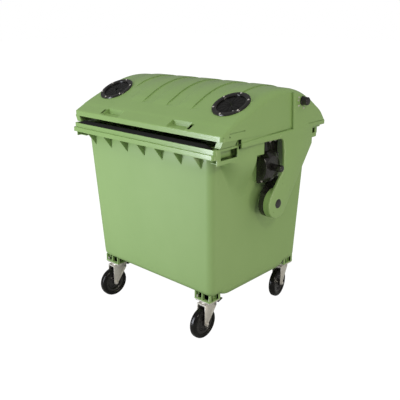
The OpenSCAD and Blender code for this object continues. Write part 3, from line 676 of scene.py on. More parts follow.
def tub_ring(z, inset):
    """Outline of the wall at a height, moved inwards by an inset."""
    x = TUB_X - SIDE_TAPER * down(z) - inset
    front = TUB_FRONT + FRONT_TAPER * down(z) + inset
    back = TUB_BACK - REAR_TAPER * down(z) - inset
    return [(a, b, z) for a, b in rounded_box(-x, x, front, back, max(CORNER_R - inset, 8), 10)]


def tub_wall_rings(inset, top):
    """Rings of the wall from the rim to the floor, with a round edge at the floor."""
    low = FLOOR_Z + inset
    levels = [top - (top - low - FLOOR_EDGE) * i / 10 for i in range(11)]
    rings = [tub_ring(z, inset) for z in levels]
    for i in range(1, 9):
        a = radians(90 * i / 8)
        rings.append(tub_ring(low + FLOOR_EDGE * (1 - sin(a)), inset + 0.85 * FLOOR_EDGE * (1 - cos(a))))
    return rings


def tub_shell():
    """Wall and floor, and the round belly under them."""
    form = Form()
    outer = [form.add(ring) for ring in tub_wall_rings(0, RIM_Z - WALL)]
    inner = [form.add(ring) for ring in tub_wall_rings(WALL, RIM_Z - WALL)]
    for rows in (outer, inner):
        for first, second in zip(rows, rows[1:]):
            form.strip(first, second)
        form.faces.append(tuple(rows[-1]))
    form.strip(outer[0], inner[0])
    belly = []
    edge = FLOOR_Z + BELLY_EDGE
    for i in range(13):
        a = radians(90 * max(i - 1, 0) / 11)
        z = edge - (edge - BELLY_Z) * sin(a) if i else edge + BELLY_CORNER
        tuck = 1 - cos(a)
        x = TUB_X - SIDE_TAPER * down(z) - 0.6 - BELLY_CORNER * tuck
        front = BELLY_Y[0] + BELLY_TUCK[0] * tuck
        back = BELLY_Y[1] - BELLY_TUCK[1] * tuck
        belly.append([(p, q, z) for p, q in rounded_box(-x, x, front, back, BELLY_CORNER)])
    form.loft(belly)
    return form


def rim_stations():
    """Stations round the right half of the rim, from the middle of the front.

    Each has its lower point, its upper point and the stretch that ends there.
    """
    step = RIM_STEP
    r = RIM_CORNER
    back_r = REAR_CORNER
    side = [("front", FRONT_Y + r + step), ("front_block", WINDOW_Y[0]), ("front_window", WINDOW_Y[1]),
            ("front_block", NOTCH_Y[0]), ("notch", NOTCH_Y[1]), ("front_block", SHOULDER_BACK),
            ("flange", REAR_BLOCK_Y[0]), ("rear_block", REAR_WINDOW_Y[0]), ("rear_window", REAR_WINDOW_Y[1]),
            ("rear_block", RIM_BACK - back_r)]
    stations = []
    for i in range(7):
        x = (RIM_X - r) * i / 6
        stations.append(((x, FRONT_Y), (x, FRONT_Y + step), "front"))
    for i in range(1, 9):
        a = radians(-90 + 90 * i / 8)
        low = (RIM_X - r + r * cos(a), FRONT_Y + r + r * sin(a))
        stations.append((low, (low[0], low[1] + step), "front"))
    for stretch, y in side:
        stations.append(((RIM_X, y), (RIM_X, y), stretch))
    for i in range(1, 7):
        a = radians(15 * i)
        point = (RIM_X - back_r + back_r * cos(a), RIM_BACK - back_r + back_r * sin(a))
        stations.append((point, point, "rear"))
    return stations


RIM_LEVELS = (HANDLE_LOW, REAR_LOW, WINDOW_LOW, RIM_LOW, RIM_LOW + 5, RIM_MID, RIM_Z - FLANGE_T, RIM_Z)
# Spaces between these levels that each stretch of the rim fills, from the lowest up
RIM_CELLS = {
    "front": (0, 0, 0, 1, 1, 1, 1),
    "front_block": (1, 1, 1, 1, 1, 1, 1),
    "front_window": (1, 1, 0, 0, 0, 0, 1),
    "notch": (1, 1, 1, 1, 1, 0, 0),
    "flange": (0, 0, 0, 0, 0, 0, 1),
    "rear_block": (0, 1, 1, 1, 1, 1, 1),
    "rear_window": (0, 1, 1, 1, 0, 0, 1),
    "rear": (0, 0, 0, 1, 1, 1, 1),
}


def rim_skin():
    """The outer skin of the rim with its two front bands and the windows of the handles."""
    right = rim_stations()
    form = Form()
    mid = RIM_LEVELS.index(RIM_MID)
    columns = []
    for low, high, _ in right:
        lower = form.add([(low[0], low[1], z) for z in RIM_LEVELS[:mid + 1]])
        upper = form.add([(high[0], high[1], z) for z in RIM_LEVELS[mid:]])
        columns.append((lower, upper))
    for first, second, start, end in zip(columns, columns[1:], right, right[1:]):
        for i, filled in enumerate(RIM_CELLS[end[2]]):
            strip = 0 if i < mid else 1
            j = i - (mid if strip else 0)
            if filled:
                a, b = first[strip], second[strip]
                form.faces.append((a[j], b[j], b[j + 1], a[j + 1]))
        if start[0] != start[1] or end[0] != end[1]:
            form.faces.append((first[0][-1], second[0][-1], second[1][0], first[1][0]))
    form.mirrored()
    return soften(thickened(form.build("rim_skin", GREEN), WALL, even=True), 2.6, 3)


def notched(outline, x, notch_x):
    """A rounded box outline with the rim's two notches put into its right and left sides."""
    quarter = len(outline) // 4
    low, high = NOTCH_Y
    right = [(x, low), (notch_x, low), (notch_x, high), (x, high)]
    left = [(-p, q) for p, q in reversed(right)]
    return outline[:quarter] + right + outline[quarter:3 * quarter] + left + outline[3 * quarter:]


def rim_flange():
    """Flat flange between the rim skin and the wall, open at the notches."""
    form = Form()
    edge = RIM_X - 3
    outline = rounded_box(-edge, edge, FRONT_Y + RIM_STEP + 3, RIM_BACK - 3, RIM_CORNER)
    outer = notched(outline, edge, TUB_X + 4)
    x = TUB_X - WALL
    inner = notched(rounded_box(-x, x, TUB_FRONT + WALL, TUB_BACK - WALL, CORNER_R - WALL), x, x)
    top = RIM_Z - 0.3
    low = RIM_Z - FLANGE_T + 1
    form.loft([[(p, q, low) for p, q in outer], [(p, q, top) for p, q in outer],
               [(p, q, top) for p, q in inner], [(p, q, low) for p, q in inner]], loop=True)
    return form


def shoulder():
    """Hollow shoulder behind each notch of the rim, with a long underside that dies into the wall."""
    form = Form()
    step = NOTCH_Y[1]
    places = [SHOULDER_FRONT + (step - SHOULDER_FRONT) * i / 10 for i in range(10)] + [step - 0.5]
    places += [step + (SHOULDER_END - step) * i / 8 for i in range(9)] + [SHOULDER_END + 0.5, SHOULDER_BACK]
    full = step + 60
    top = HANDLE_LOW + 2
    high = SKIRT_LOW - 2.5
    columns = []
    for y in places:
        face = RIM_X + (SHOULDER_X - RIM_X) * ease(y, step, SHOULDER_BACK)
        low = top - 4 - SHOULDER_H * ease(y, SHOULDER_FRONT, full)
        if y > SHOULDER_END:
            low = top - 30
        foot = TUB_X - SIDE_TAPER * down(low) - 0.2
        column = []
        for i in range(25):
            t = i / 24
            column.append((foot + (face - foot) * ease(t, 0, 1), y, low + (top - low) * t))
        if y >= step:
            column += [(face, y, high - 2), (face - 2, y, high), (RIM_X - 4, y, high)]
        else:
            column += [(face - 4, y, top + 4)] * 3
        columns.append(column)
    form.loft(columns, caps=False, closed=False)
    form.mirrored()
    return thickened(form.build("shoulder", GREEN, SHOULDER_SHARP), SHOULDER_T, sharp=SHOULDER_SHARP)


def handle_walls(form):
    """Inner panels behind the handle windows, and the ends of the handle blocks, on the right side."""
    inner = TUB_X - 2
    skin = RIM_X - WALL + 1
    top = RIM_Z - 2
    start, end = REAR_BLOCK_Y
    form.block((RIM_X - 36, WINDOW_Y[0] - 14, WINDOW_LOW + 5), (RIM_X - 30, WINDOW_Y[1] - 23, top))
    form.block((inner, start + 0.5, REAR_LOW + 0.5), (skin, start + WALL, top))
    form.block((inner, end - WALL, REAR_LOW + 0.5), (skin, end, top))
    form.block((RIM_X - 16, start + 4, RIM_LOW + 12), (RIM_X - 10, REAR_WINDOW_Y[1] - 12, top))
    form.block((inner, start + 3, REAR_LOW + 0.7), (skin, end - 3, REAR_LOW + WALL))
    form.block((inner, WINDOW_Y[0] - 8, HANDLE_LOW + 0.7), (skin, NOTCH_Y[0], HANDLE_LOW + WALL))


def caster_seat(form, x, y):
    """Ribbed seat under the floor that carries a caster plate."""
    left, right = x - SEAT_HALF[0], x + SEAT_HALF[0]
    front, back = y - SEAT_HALF[1], y + SEAT_HALF[1]
    low = SEAT_LOW
    top = FLOOR_Z + 8
    bay = 20
    wall = 7
    half = wall / 2
    form.block((left, front, low), (right, back, low + wall), 1.2)
    form.block((left + bay, front + bay, low + 3), (right - bay, back - bay, top), 1.2)
    for rib in (left + half + 1, x, right - half - 1):
        form.block((rib - half, front + 1, low + 3), (rib + half, front + bay + wall, top), 1.0)
        form.block((rib - half, back - bay - wall, low + 3), (rib + half, back - 1, top), 1.0)
    for rib in (front + bay + half, back - bay - half):
        form.block((left + 1, rib - half, low + 3), (right - 1, rib + half, top), 1.0)


def comb_rib():
    """One triangular rib of the comb under the front rim, at the middle of the bin."""
    form = Form()
    tip = RIM_LOW - COMB_H
    wall_y = TUB_FRONT + FRONT_TAPER * down(tip) + 2
    form.plate([(FRONT_Y + WALL, RIM_LOW - 3), (wall_y, tip), (TUB_FRONT + 2, RIM_Z - 9),
                (FRONT_Y + RIM_STEP + WALL, RIM_Z - 9), (FRONT_Y + WALL, RIM_LOW + 8)], -4, 4, 1.5)
    return form.build("comb_rib", GREEN)


def bracket_pad(form):
    """Flat pads on the side wall behind a side bracket and behind its pivot boss."""
    y, z = TRUNNION
    outline = [(y - 60, z - 91), (y + 116, z - 91), (y + 116, z + 55), (y + 83, z + 153), (y - 27, z + 153),
               (y - 27, z + 55), (y - 60, z + 55)]
    form.plate(outline, TUB_X - 24, TUB_X + 1, 2)
    form.plate(arc(PIVOT, 36, 0, 345, 23), TUB_X - 50, TUB_X + 1, 2)


def make_tub():
    """The body in one moulding."""
    base = tub_shell().build("tub_shell", GREEN)
    skin = rim_skin()
    flange = rim_flange().build("rim_flange", GREEN)
    shoulders = shoulder()
    extras = Form()
    handle_walls(extras)
    bracket_pad(extras)
    extras.mirrored()
    for side in SIDES:
        for y in CASTER_Y:
            caster_seat(extras, side * CASTER_X, y)
    extras.block((-RIM_X + 30, TUB_BACK - 12, RIM_LOW + 3), (RIM_X - 30, RIM_BACK - 4, RIM_Z - 4))
    fittings = extras.build("tub_fittings", GREEN)
    rib = comb_rib()
    start = -(COMB_COUNT - 1) / 2 * COMB_PITCH
    ribs = repeat("comb", rib, "row", (start, 0, 0), count=COMB_COUNT, offset=(COMB_PITCH * MM, 0, 0))
    bpy.data.objects.remove(rib)
    meshes = [ribs, *taken(base, skin, flange, shoulders, fittings)]
    seat(gathered("tub_moulding", meshes, GREEN), "body", "tub")


# Lid

CROWN_Y = LIP_Y + (CROWN_Z - CROWN_R * (1 - cos(SLOPE)) - LIP_TOP) / tan(SLOPE) + CROWN_R * sin(SLOPE)
TURN_AT = Vector((CROWN_Y + CROWN_R * sin(TURN), CROWN_Z - CROWN_R * (1 - cos(TURN))))
TURN_DIR = Vector((sin(TURN), cos(TURN)))
BACK_SPAN = Vector((BACK_Y, FLANGE_TOP)) - TURN_AT
BACK_R = -BACK_SPAN.length_squared / (2 * BACK_SPAN.dot(TURN_DIR))
BACK_MID = TURN_AT - BACK_R * TURN_DIR
BACK_END = atan2(BACK_Y - BACK_MID.x, FLANGE_TOP - BACK_MID.y)
SLOPE_OUT = Vector((0, -sin(SLOPE), cos(SLOPE)))
SLOPE_TURN = Matrix.Rotation(SLOPE, 3, "X")


def on_slope(up):
    """Place on the slope, as y and z, at a length up from its lower edge."""
    return LIP_Y + up * cos(SLOPE), LIP_TOP + up * sin(SLOPE)


def rosette_centre(side):
    """Middle of the left or right rosette on the slope."""
    return Vector((side * ROSETTE_X, *on_slope(ROSETTE_UP)))


def lid_profile():
    """Side profile of the dome from lip to rear flange: point, outward normal and side rounding."""
    rows = []
    for z in (LIP_LOW, LIP_LOW + 12, LIP_TOP - 6):
        rows.append((Vector((LIP_Y, z)), Vector((-1, 0)), LIP_CORNER))
    centre = Vector((LIP_Y + LIP_ROUND, LIP_TOP - LIP_ROUND * (1 - sin(SLOPE)) / cos(SLOPE)))
    for i in range(1, 6):
        a = pi - (pi / 2 - SLOPE) * i / 5
        normal = Vector((cos(a), sin(a)))
        rows.append((centre + LIP_ROUND * normal, normal, LIP_CORNER - (LIP_CORNER - SLOPE_SIDE_R) * i / 5))
    slope_end = (CROWN_Z - CROWN_R * (1 - cos(SLOPE)) - LIP_TOP) / sin(SLOPE)
    normal = Vector((-sin(SLOPE), cos(SLOPE)))
    for i in range(1, 23):
        up = slope_end * i / 23
        r = SLOPE_SIDE_R + (CROWN_SIDE_R - SLOPE_SIDE_R) * ease(up, 60, slope_end)
        rise = BAND_RISE * ease(up, BAND_UP - 6, BAND_UP + 6) * (1 - ease(up, 2 * BAND_UP, slope_end))
        rows.append((Vector(on_slope(up)) + normal * rise, normal, r))
    for i in range(15):
        t = -SLOPE + (SLOPE + TURN) * i / 14
        normal = Vector((sin(t), cos(t)))
        rows.append((Vector((CROWN_Y, CROWN_Z - CROWN_R)) + CROWN_R * normal, normal, CROWN_SIDE_R))
    for i in range(1, 25):
        t = TURN + (BACK_END - TURN) * i / 24
        normal = Vector((sin(t), cos(t)))
        r = CROWN_SIDE_R - (CROWN_SIDE_R - LIP_SIDE_R) * ease(t, BACK_END - 0.3, BACK_END)
        rows.append((BACK_MID + BACK_R * normal, normal, r))
    for z in (FLANGE_TOP - 6, FLANGE_LOW + 10, FLANGE_LOW):
        rows.append((Vector((BACK_Y, z)), Vector((1, 0)), LIP_SIDE_R))
    return rows


def rib_height(x, y):
    """Height of the stiffening ribs over the dome at a place; each has a groove along its right foot."""
    for i in range(RIB_COUNT):
        centre = (i - (RIB_COUNT - 1) / 2) * RIB_PITCH
        start = RIB_START if abs(centre) < ROSETTE_X - ROSETTE_R else OUTER_RIB_START
        along = ease(y, start, start + RIB_RUN) * (1 - ease(y, *RIB_END))
        left, right = centre - RIB_W / 2, centre + RIB_W / 2
        if left - RIB_RISE < x <= right:
            return RIB_H * along * ease(x, left - RIB_RISE, left)
        if right < x < right + RIB_GROOVE:
            return -RIB_CUT * along
    return 0


def lid_stations():
    """Places across the dome between the two side roundings."""
    places = [side * x for side in SIDES for x in (560, 572, 584)]
    for i in range(RIB_COUNT):
        centre = (i - (RIB_COUNT - 1) / 2) * RIB_PITCH
        left, right = centre - RIB_W / 2, centre + RIB_W / 2
        places.extend([left - RIB_RISE * part for part in (0, 0.25, 0.5, 0.75, 1)])
        places.extend([centre, right, right + 0.8, right + RIB_GROOVE - 0.8, right + RIB_GROOVE])
    return sorted(places)


def dome():
    """The lid's slope, crown and back with rounded sides, as a skin with its wall."""
    form = Form()
    stations = lid_stations()
    rows = []
    for point, normal, r in lid_profile():
        sag = CAMBER * max(normal.y, 0) ** 2 if normal.x > -0.4 else 0
        edge = []
        for i in range(9):
            a = radians(90 - 90 * i / 8)
            p = point - normal * (r * (1 - sin(a)) + sag)
            edge.append((PANEL_X - r * (1 - cos(a)), p.x, p.y))
        row = [(-x, y, z) for x, y, z in reversed(edge)]
        for x in stations:
            out = rib_height(x, point.x) if normal.y > 0.3 else 0
            p = point + normal * (out - sag * (x / PANEL_X) ** 2)
            row.append((x, p.x, p.y))
        rows.append(form.add(row + edge))
    for first, second in zip(rows, rows[1:]):
        form.strip(first, second, closed=False)
    form.faces.append(tuple(row[0] for row in rows))
    form.faces.append(tuple(row[-1] for row in reversed(rows)))
    return thickened(form.build("lid_dome", GREEN), LID_WALL)


def arm_outline():
    """Outline of the cheek, the rear of the skirt and the arm down to its hub, counter-clockwise."""
    front = (73, 994)
    rear_y = 360
    rear = (rear_y, 1105)
    back_y = 493
    turn_r = 40
    turn_y = 65 - turn_r
    left = tangent_point(front, PIVOT, HUB_R, -1)
    right = tangent_point(rear, PIVOT, HUB_R, 1)
    start = degrees(atan2(left[1] - PIVOT[1], left[0] - PIVOT[0]))
    end = degrees(atan2(right[1] - PIVOT[1], right[0] - PIVOT[0])) + 360
    lower = [(turn_y, SKIRT_TOP), *arc((turn_y, SKIRT_LOW - turn_r), turn_r, 90, 0, 10), (72, 1094), front,
             *arc(PIVOT, HUB_R, start, end, 40), rear, (rear_y, FLANGE_LOW), (back_y, FLANGE_LOW),
             (back_y, FLANGE_TOP - 2)]
    top = []
    for point, normal, _ in reversed(lid_profile()):
        p = point - normal * (25 - 10 * ease(point.x, 380, 460))
        if CHEEK_Y < p.x < back_y - 1 and p.y > FLANGE_TOP and normal.y > 0:
            top.append((p.x, p.y))
    corner = top[-1]
    ends = [(CHEEK_Y, corner[1] + 2), (CHEEK_Y + CHEEK_LEAN, SKIRT_TOP)]
    return lower + top + ends, len(lower), len(top)


def lid_arm():
    """Cheek and arm on the right side, well rounded along the back of the dome."""
    form = Form()
    outline, lower, top = arm_outline()
    weights = [0.8] * lower + [1.0] * top + [1.6, 1.6]
    form.plate(outline, ARM_X - ARM_T, ARM_X, 9, weights=weights, steps=4)
    return form


def skirt_top(y):
    """Height of the crease over the skirt."""
    return SKIRT_TOP - 9 + 11 * (y - LOWER_CREASE_Y) / 430


def lid_side():
    """Skirt, hub, corner web and thin post on the right side."""
    form = Form()
    inside = PANEL_X - 4
    rows = []
    for y, x in ((SKIRT_FRONT, PANEL_X + 1), (-90, PANEL_X + 2), (50, ARM_X - 0.4)):
        rows.append([(a, y, b) for a, b in rounded_box(inside, x, SKIRT_LOW, skirt_top(y), 2, 3)])
    form.loft(rows)
    wall = PANEL_X - 3
    form.block((wall - LID_WALL, SKIRT_FRONT + 1, SKIRT_LOW + 8), (wall, SKIRT_BACK, LIP_LOW + 16), 0.8)
    hub = [(HUB_R - 0.2 if h else HUB_R - 2, h) for h in (0, 2, HUB_T - 5)]
    form.turned([(21, 0), *hub, (21, HUB_T - 5)], (ARM_X - HUB_T, *PIVOT), (1, 0, 0), 96)
    web = [(PANEL_X - 0.5, LIP_LOW + 2), (PANEL_X - 40, LIP_LOW + 2), (PANEL_X - 58, LIP_LOW - 36),
           (PANEL_X - 18, LIP_LOW - 37)]
    form.loft([[(x, y, z) for x, z in web] for y in (LIP_Y + 4, LIP_Y + 126)])
    form.block((PANEL_X - 22, POST_Y, RIM_Z + 4), (PANEL_X - 18, POST_Y + 5, LIP_LOW + 20), 1)
    return form


def slot_ring(side, height, grow=0):
    """Outline of the slot beside a hand grip, at a height over the slope."""
    centre = Vector((side * (GRIP_X + GRIP_W / 2 + 14), *on_slope(38)))
    outline = rounded_box(-10 - grow, 10 + grow, -24 - grow, 24 + grow, 3 + grow)
    return [SLOPE_TURN @ Vector((a, b, height)) + centre for a, b in outline]


def grip_slots(form):
    """Deep pockets under the slots beside the hand grips."""
    for side in SIDES:
        form.loft([slot_ring(side, height, grow) for height, grow in ((-40, 0), (-2, 0), (-2, 3), (-44, 3))])


def grip_pockets():
    """Pocket walls of the hand grips, cut off along the slope."""
    walls = Form()
    for side in SIDES:
        left, right = side * GRIP_X - GRIP_W / 2, side * GRIP_X + GRIP_W / 2
        walls.block((left - 4, LIP_Y + 1.5, LIP_TOP - 3), (right + 4, GRIP_BACK + 4, LIP_TOP + 34))
    above = Form()
    y0, z0 = on_slope(-60)
    y1, z1 = on_slope(160)
    above.plate([(y0, z0 - 1), (y1, z1 - 1), (y1 - 80, z1 + 160), (y0 - 80, z0 + 160)], -600, 600, 0.5)
    return carve(walls.build("grip_pockets", GREEN), above.build("above_slope", GREEN))


def dome_cutters():
    """Hand grips, slots and rosette holes in the dome, and creases and a small hole in its sides."""
    holes = Form()
    crease_z = LIP_TOP + 3.5
    y0, y1 = LOWER_CREASE_Y, CHEEK_Y + CHEEK_LEAN + 4
    z0, z1 = skirt_top(y0), skirt_top(y1)
    for side in SIDES:
        left, right = side * GRIP_X - GRIP_W / 2, side * GRIP_X + GRIP_W / 2
        holes.block((left, LIP_Y - 20, LIP_TOP + 1.5), (right, GRIP_BACK, LIP_TOP + 80), 4)
        holes.loft([slot_ring(side, height) for height in (-15, 15)])
        holes.drill(ROSETTE_HOLE, 40, rosette_centre(side), SLOPE_OUT)
        low, high = sorted((side * (PANEL_X - 12), side * (PANEL_X + 8)))
        near, far = sorted((side * (PANEL_X - 4.3), side * (PANEL_X + 8)))
        holes.block((near, UPPER_CREASE_Y[0], crease_z),
                    (far, UPPER_CREASE_Y[1], crease_z + 1.3 * CREASE), 0.5)
        holes.plate([(y0, z0), (y1, z1), (y1, z1 + CREASE), (y0, z0 + CREASE)], low, high, 0.5)
        holes.drill(5.2, 9, (side * PANEL_X, *SIDE_HOLE), steps=15)
    return holes.build("lid_holes", GREEN)


def arm_cutters():
    """Groove across the cheek and small holes in the arm."""
    form = Form()
    groove_z = FLANGE_TOP - 2
    for side in SIDES:
        low, high = sorted((side * (ARM_X - 4), side * (ARM_X + 8)))
        form.block((low, CHEEK_GROOVE_Y, groove_z), (high, BACK_Y + 10, groove_z + CREASE), 0.5)
        for y, z in ARM_HOLES:
            form.drill(2.6, 5, (side * ARM_X, y, z), steps=12)
    return form.build("side_holes", GREEN)


def make_lid():
    """The lid in one moulding: dome, hand grips, rosette seats, sides and arms."""
    piece = carve(dome(), grip_pockets(), "UNION")
    carve(piece, dome_cutters())
    seats = Form()
    edge = ROSETTE_R + 3
    for side in SIDES:
        seats.turned([(ROSETTE_HOLE, -10), (edge, -10), (edge, 0.6), (edge - 1.4, 2), (ROSETTE_HOLE, 2)],
                     rosette_centre(side), SLOPE_OUT, 64)
    grip_slots(seats)
    flats = seats.build("rosette_seats", GREEN)
    sides = lid_side()
    sides.mirrored()
    arms = lid_arm()
    arms.mirrored()
    plates = carve(arms.build("lid_arms", GREEN), arm_cutters())
    meshes = taken(piece, plates, sides.build("lid_sides", GREEN), flats)
    seat(gathered("lid_moulding", meshes, GREEN), "lid", "lid")


# Fittings

JOINTS = {joint["name"]: joint for joint in frame["joints"]}
BODY_OF = {node: body for body, nodes in frame["record"]["behaviour"]["bodies"].items() for node in nodes}

# Finish and edge rounding of the nodes that keep their shape; a node with no rounding is shown as it is
FINISHES = {
    "side_bracket": (BLACK, 3), "trunnion": (BLACK, 1.5), "lid_pivot": (STEEL, 0), "pivot_bush": (BLACK, 0),
    "lid_pin_screws": (ZINC, 0), "lid_pin": (BLACK, 1.5), "caster_plate": (ZINC, 1),
    "caster_kingpin": (STEEL, 0), "caster_fork": (ZINC, 1.4), "wheel_axle": (ZINC, 0.8),
    "brake_pedal": (BLACK, 1.2), "brake_pin": (STEEL, 0), "drain_plug": (BLACK, 1),
    "drain_seal": (RUBBER, 0), "caster_bolts": (ZINC, 0),
}

# Bolts of a side bracket: place from the trunnion and thickness under the head
BRACKET_BOLTS = ((-41, -84, 18), (12, 147, 32), (63, 147, 32))


def softened(node, material, width):
    """A copy of a CAD node with merged faces and rounded edges."""
    mesh = frame["nodes"][node].data.copy()
    bm = bmesh.new()
    bm.from_mesh(mesh)
    bmesh.ops.remove_doubles(bm, verts=bm.verts, dist=1e-5)
    bmesh.ops.dissolve_limit(bm, angle_limit=radians(0.5), verts=bm.verts, edges=bm.edges)
    bm.to_mesh(mesh)
    bm.free()
    return soften(dress(mesh, f"{node}_piece", material), width)


def coat(node, material):
    """Gives a CAD node that stays its material."""
    mesh = frame["nodes"][node].data
    mesh.materials.clear()
    mesh.materials.append(material)


def wheel_profile():
    """Half sections of the wheel centre and of its tyre: radius and place along the axle."""
    low, high = node_box("wheel_tyre_front_right")
    r = (high.z - low.z) / 2
    bead = r - 30
    half = 22
    centre = [(8, -27), (17, -27), (18.5, -25.5), (19, -14), (22, -11), (30, -9), (33, -11), (37, -11),
              (40, -8.5), (r - 50, -7.5), (r - 47, -11), (r - 44, -15.5), (r - 41, -17), (bead, -17)]
    tyre = [(bead, -17), (bead + 1, -20), (bead + 4, -21.4), (bead + 9, -half), (bead + 11, -half),
            (bead + 12, -21), (bead + 13, -half), (r - 12, -half), (r - 11, -21.2), (r - 10, -half + 0.4),
            (r - 6, -half + 2.6), (r - 3, -half + 6), (r - 1.2, -half + 9.5), (r - 0.3, -half + 13),
            (r, -half + 17)]
    return [side + [(a, -b) for a, b in reversed(side)] for side in (centre, tyre)]


def make_wheel(place):
    """Wheel centre and tyre of one caster, turned about its axle."""
    joint = JOINTS[f"roll_{place}"]
    centre = Vector(joint["pos_m"]) / MM
    for part, material, profile in zip(("wheel_rim", "wheel_tyre"), (BLACK, TYRE), wheel_profile()):
        form = Form()
        form.turned(profile, centre, joint["axis"], 96)
        seat(form.build(f"{part}_{place}_turned", material), f"wheel_{place}", f"{part}_{place}")


def rosette_flap():
    """One flap of the rosette's rubber star, pointing along X from the middle."""
    form = Form()
    wide = radians(FLAP_HALF_DEG)
    root = FLAP_R * tan(wide)
    tip = 2 * sin(wide)
    end = arc((0, 0), FLAP_R / cos(wide), -FLAP_HALF_DEG, FLAP_HALF_DEG, 6)[1:-1]
    form.plate([(6, -tip), (FLAP_R, -root), *end, (FLAP_R, root), (6, tip)], -3, 0, 0.7, "z")
    return form.build("flap", RUBBER)


def make_rosettes():
    """Ring, rubber star and screw heads of the two rosettes."""
    screw = Form()
    screw.turned([(0.01, -1), (5.5, -1), (5.4, 1), (4.6, 2.2), (3, 2.9), (0.01, 3)], steps=20)
    head = screw.build("rosette_screw", ZINC)
    flap = rosette_flap()
    screws = []
    turn = (Matrix.Rotation(SLOPE, 4, "X") @ Matrix.Rotation(pi / SCREW_COUNT, 4, "Z")).to_euler()
    r = ROSETTE_R
    for side, name in SIDES.items():
        centre = rosette_centre(side)
        ring = Form()
        ring.turned([(84, 2.1), (84, 6), (85.5, 8.4), (89, 10.6), (94, 11), (r - 7, 11), (r - 3, 10.2),
                     (r - 0.6, 7.4), (r, 4), (r, 2.1)], centre, SLOPE_OUT, 96)
        seat(ring.build(f"rosette_ring_{name}_turned", BLACK), "lid", f"rosette_ring_{name}")
        star = repeat("star", flap, "ring", centre + SLOPE_OUT * 2, (SLOPE, 0, 0),
                      vertices=FLAP_COUNT, radius=FLAP_RING * MM)
        seat(gathered(f"rosette_star_{name}", [star], RUBBER), "lid", f"rosette_membrane_{name}")
        screws.append(repeat("screws", head, "ring", centre + SLOPE_OUT * 11, turn,
                             vertices=SCREW_COUNT, radius=SCREW_R * MM))
    seat(gathered("rosette_screw_heads", screws, ZINC), "lid", "rosette_screws")
    bpy.data.objects.remove(head)
    bpy.data.objects.remove(flap)


def make_bracket_bolts():
    """Socket heads in the side brackets."""
    seat_x = node_box("side_bracket_right")[0].x
    form = Form()
    for y, z, thick in BRACKET_BOLTS:
        form.turned([(0.01, -24), (6, -24), (6, 0), (9, 0), (9, 3.6), (7.6, 5), (3.6, 5), (3, 2), (0.01, 2)],
                    (seat_x + thick, TRUNNION[0] + y, TRUNNION[1] + z), (1, 0, 0), 24)
    form.mirrored()
    seat(form.build("bracket_bolt_heads", ZINC), "body", "bracket_bolts")


def make_seal():
    """Soft strip along the front flange, under the lid's lip: a slanted face and ends that run out flat."""
    low, high = node_box("front_seal")
    wide, tall = high.y - low.y, high.z - low.z
    section = [(0, 0), (wide, 0), (wide, 0.7 * tall), (wide - 2, 0.9 * tall), (wide - 5, tall),
               (wide - 8, 0.97 * tall), (wide - 11, 0.85 * tall), (3, 0.24 * tall), (0.6, 0.12 * tall)]
    rings = []
    for i in range(SEAL_STEPS + 1):
        x = low.x + (high.x - low.x) * i / SEAL_STEPS
        rise = SEAL_ENDS[min(i, SEAL_STEPS - i, len(SEAL_ENDS) - 1)]
        rings.append([(x, low.y + a, low.z + b * rise) for a, b in section])
    form = Form()
    form.loft(rings)
    seat(form.build("front_seal_strip", SEAL), "body", "front_seal")


def make_pivot_caps():
    """Round caps over the lid's pivots."""
    low, high = node_box("pivot_cap_right")
    r = (high.z - low.z) / 2
    for side, name in SIDES.items():
        form = Form()
        form.turned([(0.01, -6), (r, -6), (r, 0), (r - 1.5, 1.4), (r - 7, 1.8), (r - 10, 2.6), (0.01, 2.8)],
                    (side * ARM_X, *PIVOT), (side, 0, 0), 48)
        seat(form.build(f"pivot_cap_{name}_turned", BLACK), "lid", f"pivot_cap_{name}")


def make_fittings():
    """Softened copies of the small CAD nodes, or the nodes themselves where they hardly show."""
    for node, body in BODY_OF.items():
        kind = next((k for k in FINISHES if node.startswith(k)), None)
        if kind is None:
            continue
        material, width = FINISHES[kind]
        if width:
            seat(softened(node, material, width), body, node)
        else:
            coat(node, material)


# Stage

CAMERA_AZ = radians(42.9)
CAMERA_EL = radians(18.1)
CAMERA_ROLL = radians(-0.3)
CAMERA_FAR = 3951
CAMERA_AIM = Vector((0, 42.5, 674))
LENS_MM = 53.2
SENSOR_MM = 36
LAMP_AIM = Vector((0, 0, 0.7))
ROOM_LEVEL = 0.86
MIRRORED_LEVEL = 0.24
FLOOR_GLOW = 1.17
FLOOR_SHARE = 0.86
FLOOR_FAR = 30


def make_camera():
    """Camera at the photograph's viewing angle."""
    back = Vector((sin(CAMERA_AZ) * cos(CAMERA_EL), -cos(CAMERA_AZ) * cos(CAMERA_EL), sin(CAMERA_EL)))
    right = Vector((cos(CAMERA_AZ), sin(CAMERA_AZ), 0))
    up = back.cross(right)
    level = right * cos(CAMERA_ROLL) + up * sin(CAMERA_ROLL)
    upright = up * cos(CAMERA_ROLL) - right * sin(CAMERA_ROLL)
    data = bpy.data.cameras.new("camera")
    data.sensor_width = SENSOR_MM
    data.lens = LENS_MM
    data.clip_end = 100
    camera = bpy.data.objects.new("camera", data)
    turn = Matrix((level, upright, back)).transposed().to_4x4()
    camera.matrix_world = Matrix.Translation((CAMERA_AIM + back * CAMERA_FAR) * MM) @ turn
    SCENE.collection.objects.link(camera)
    SCENE.camera = camera


def soft_box(name, place, size, power, colour):
    """An area lamp that points at the middle of the container; places and sizes in metres."""
    data = bpy.data.lights.new(name, "AREA")
    data.shape = "RECTANGLE"
    data.size, data.size_y = size
    data.energy = power
    data.color = colour
    lamp = bpy.data.objects.new(name, data)
    lamp.location = place
    aim = LAMP_AIM - Vector(place)
    lamp.rotation_euler = aim.to_track_quat("-Z", "Y").to_euler()
    SCENE.collection.objects.link(lamp)


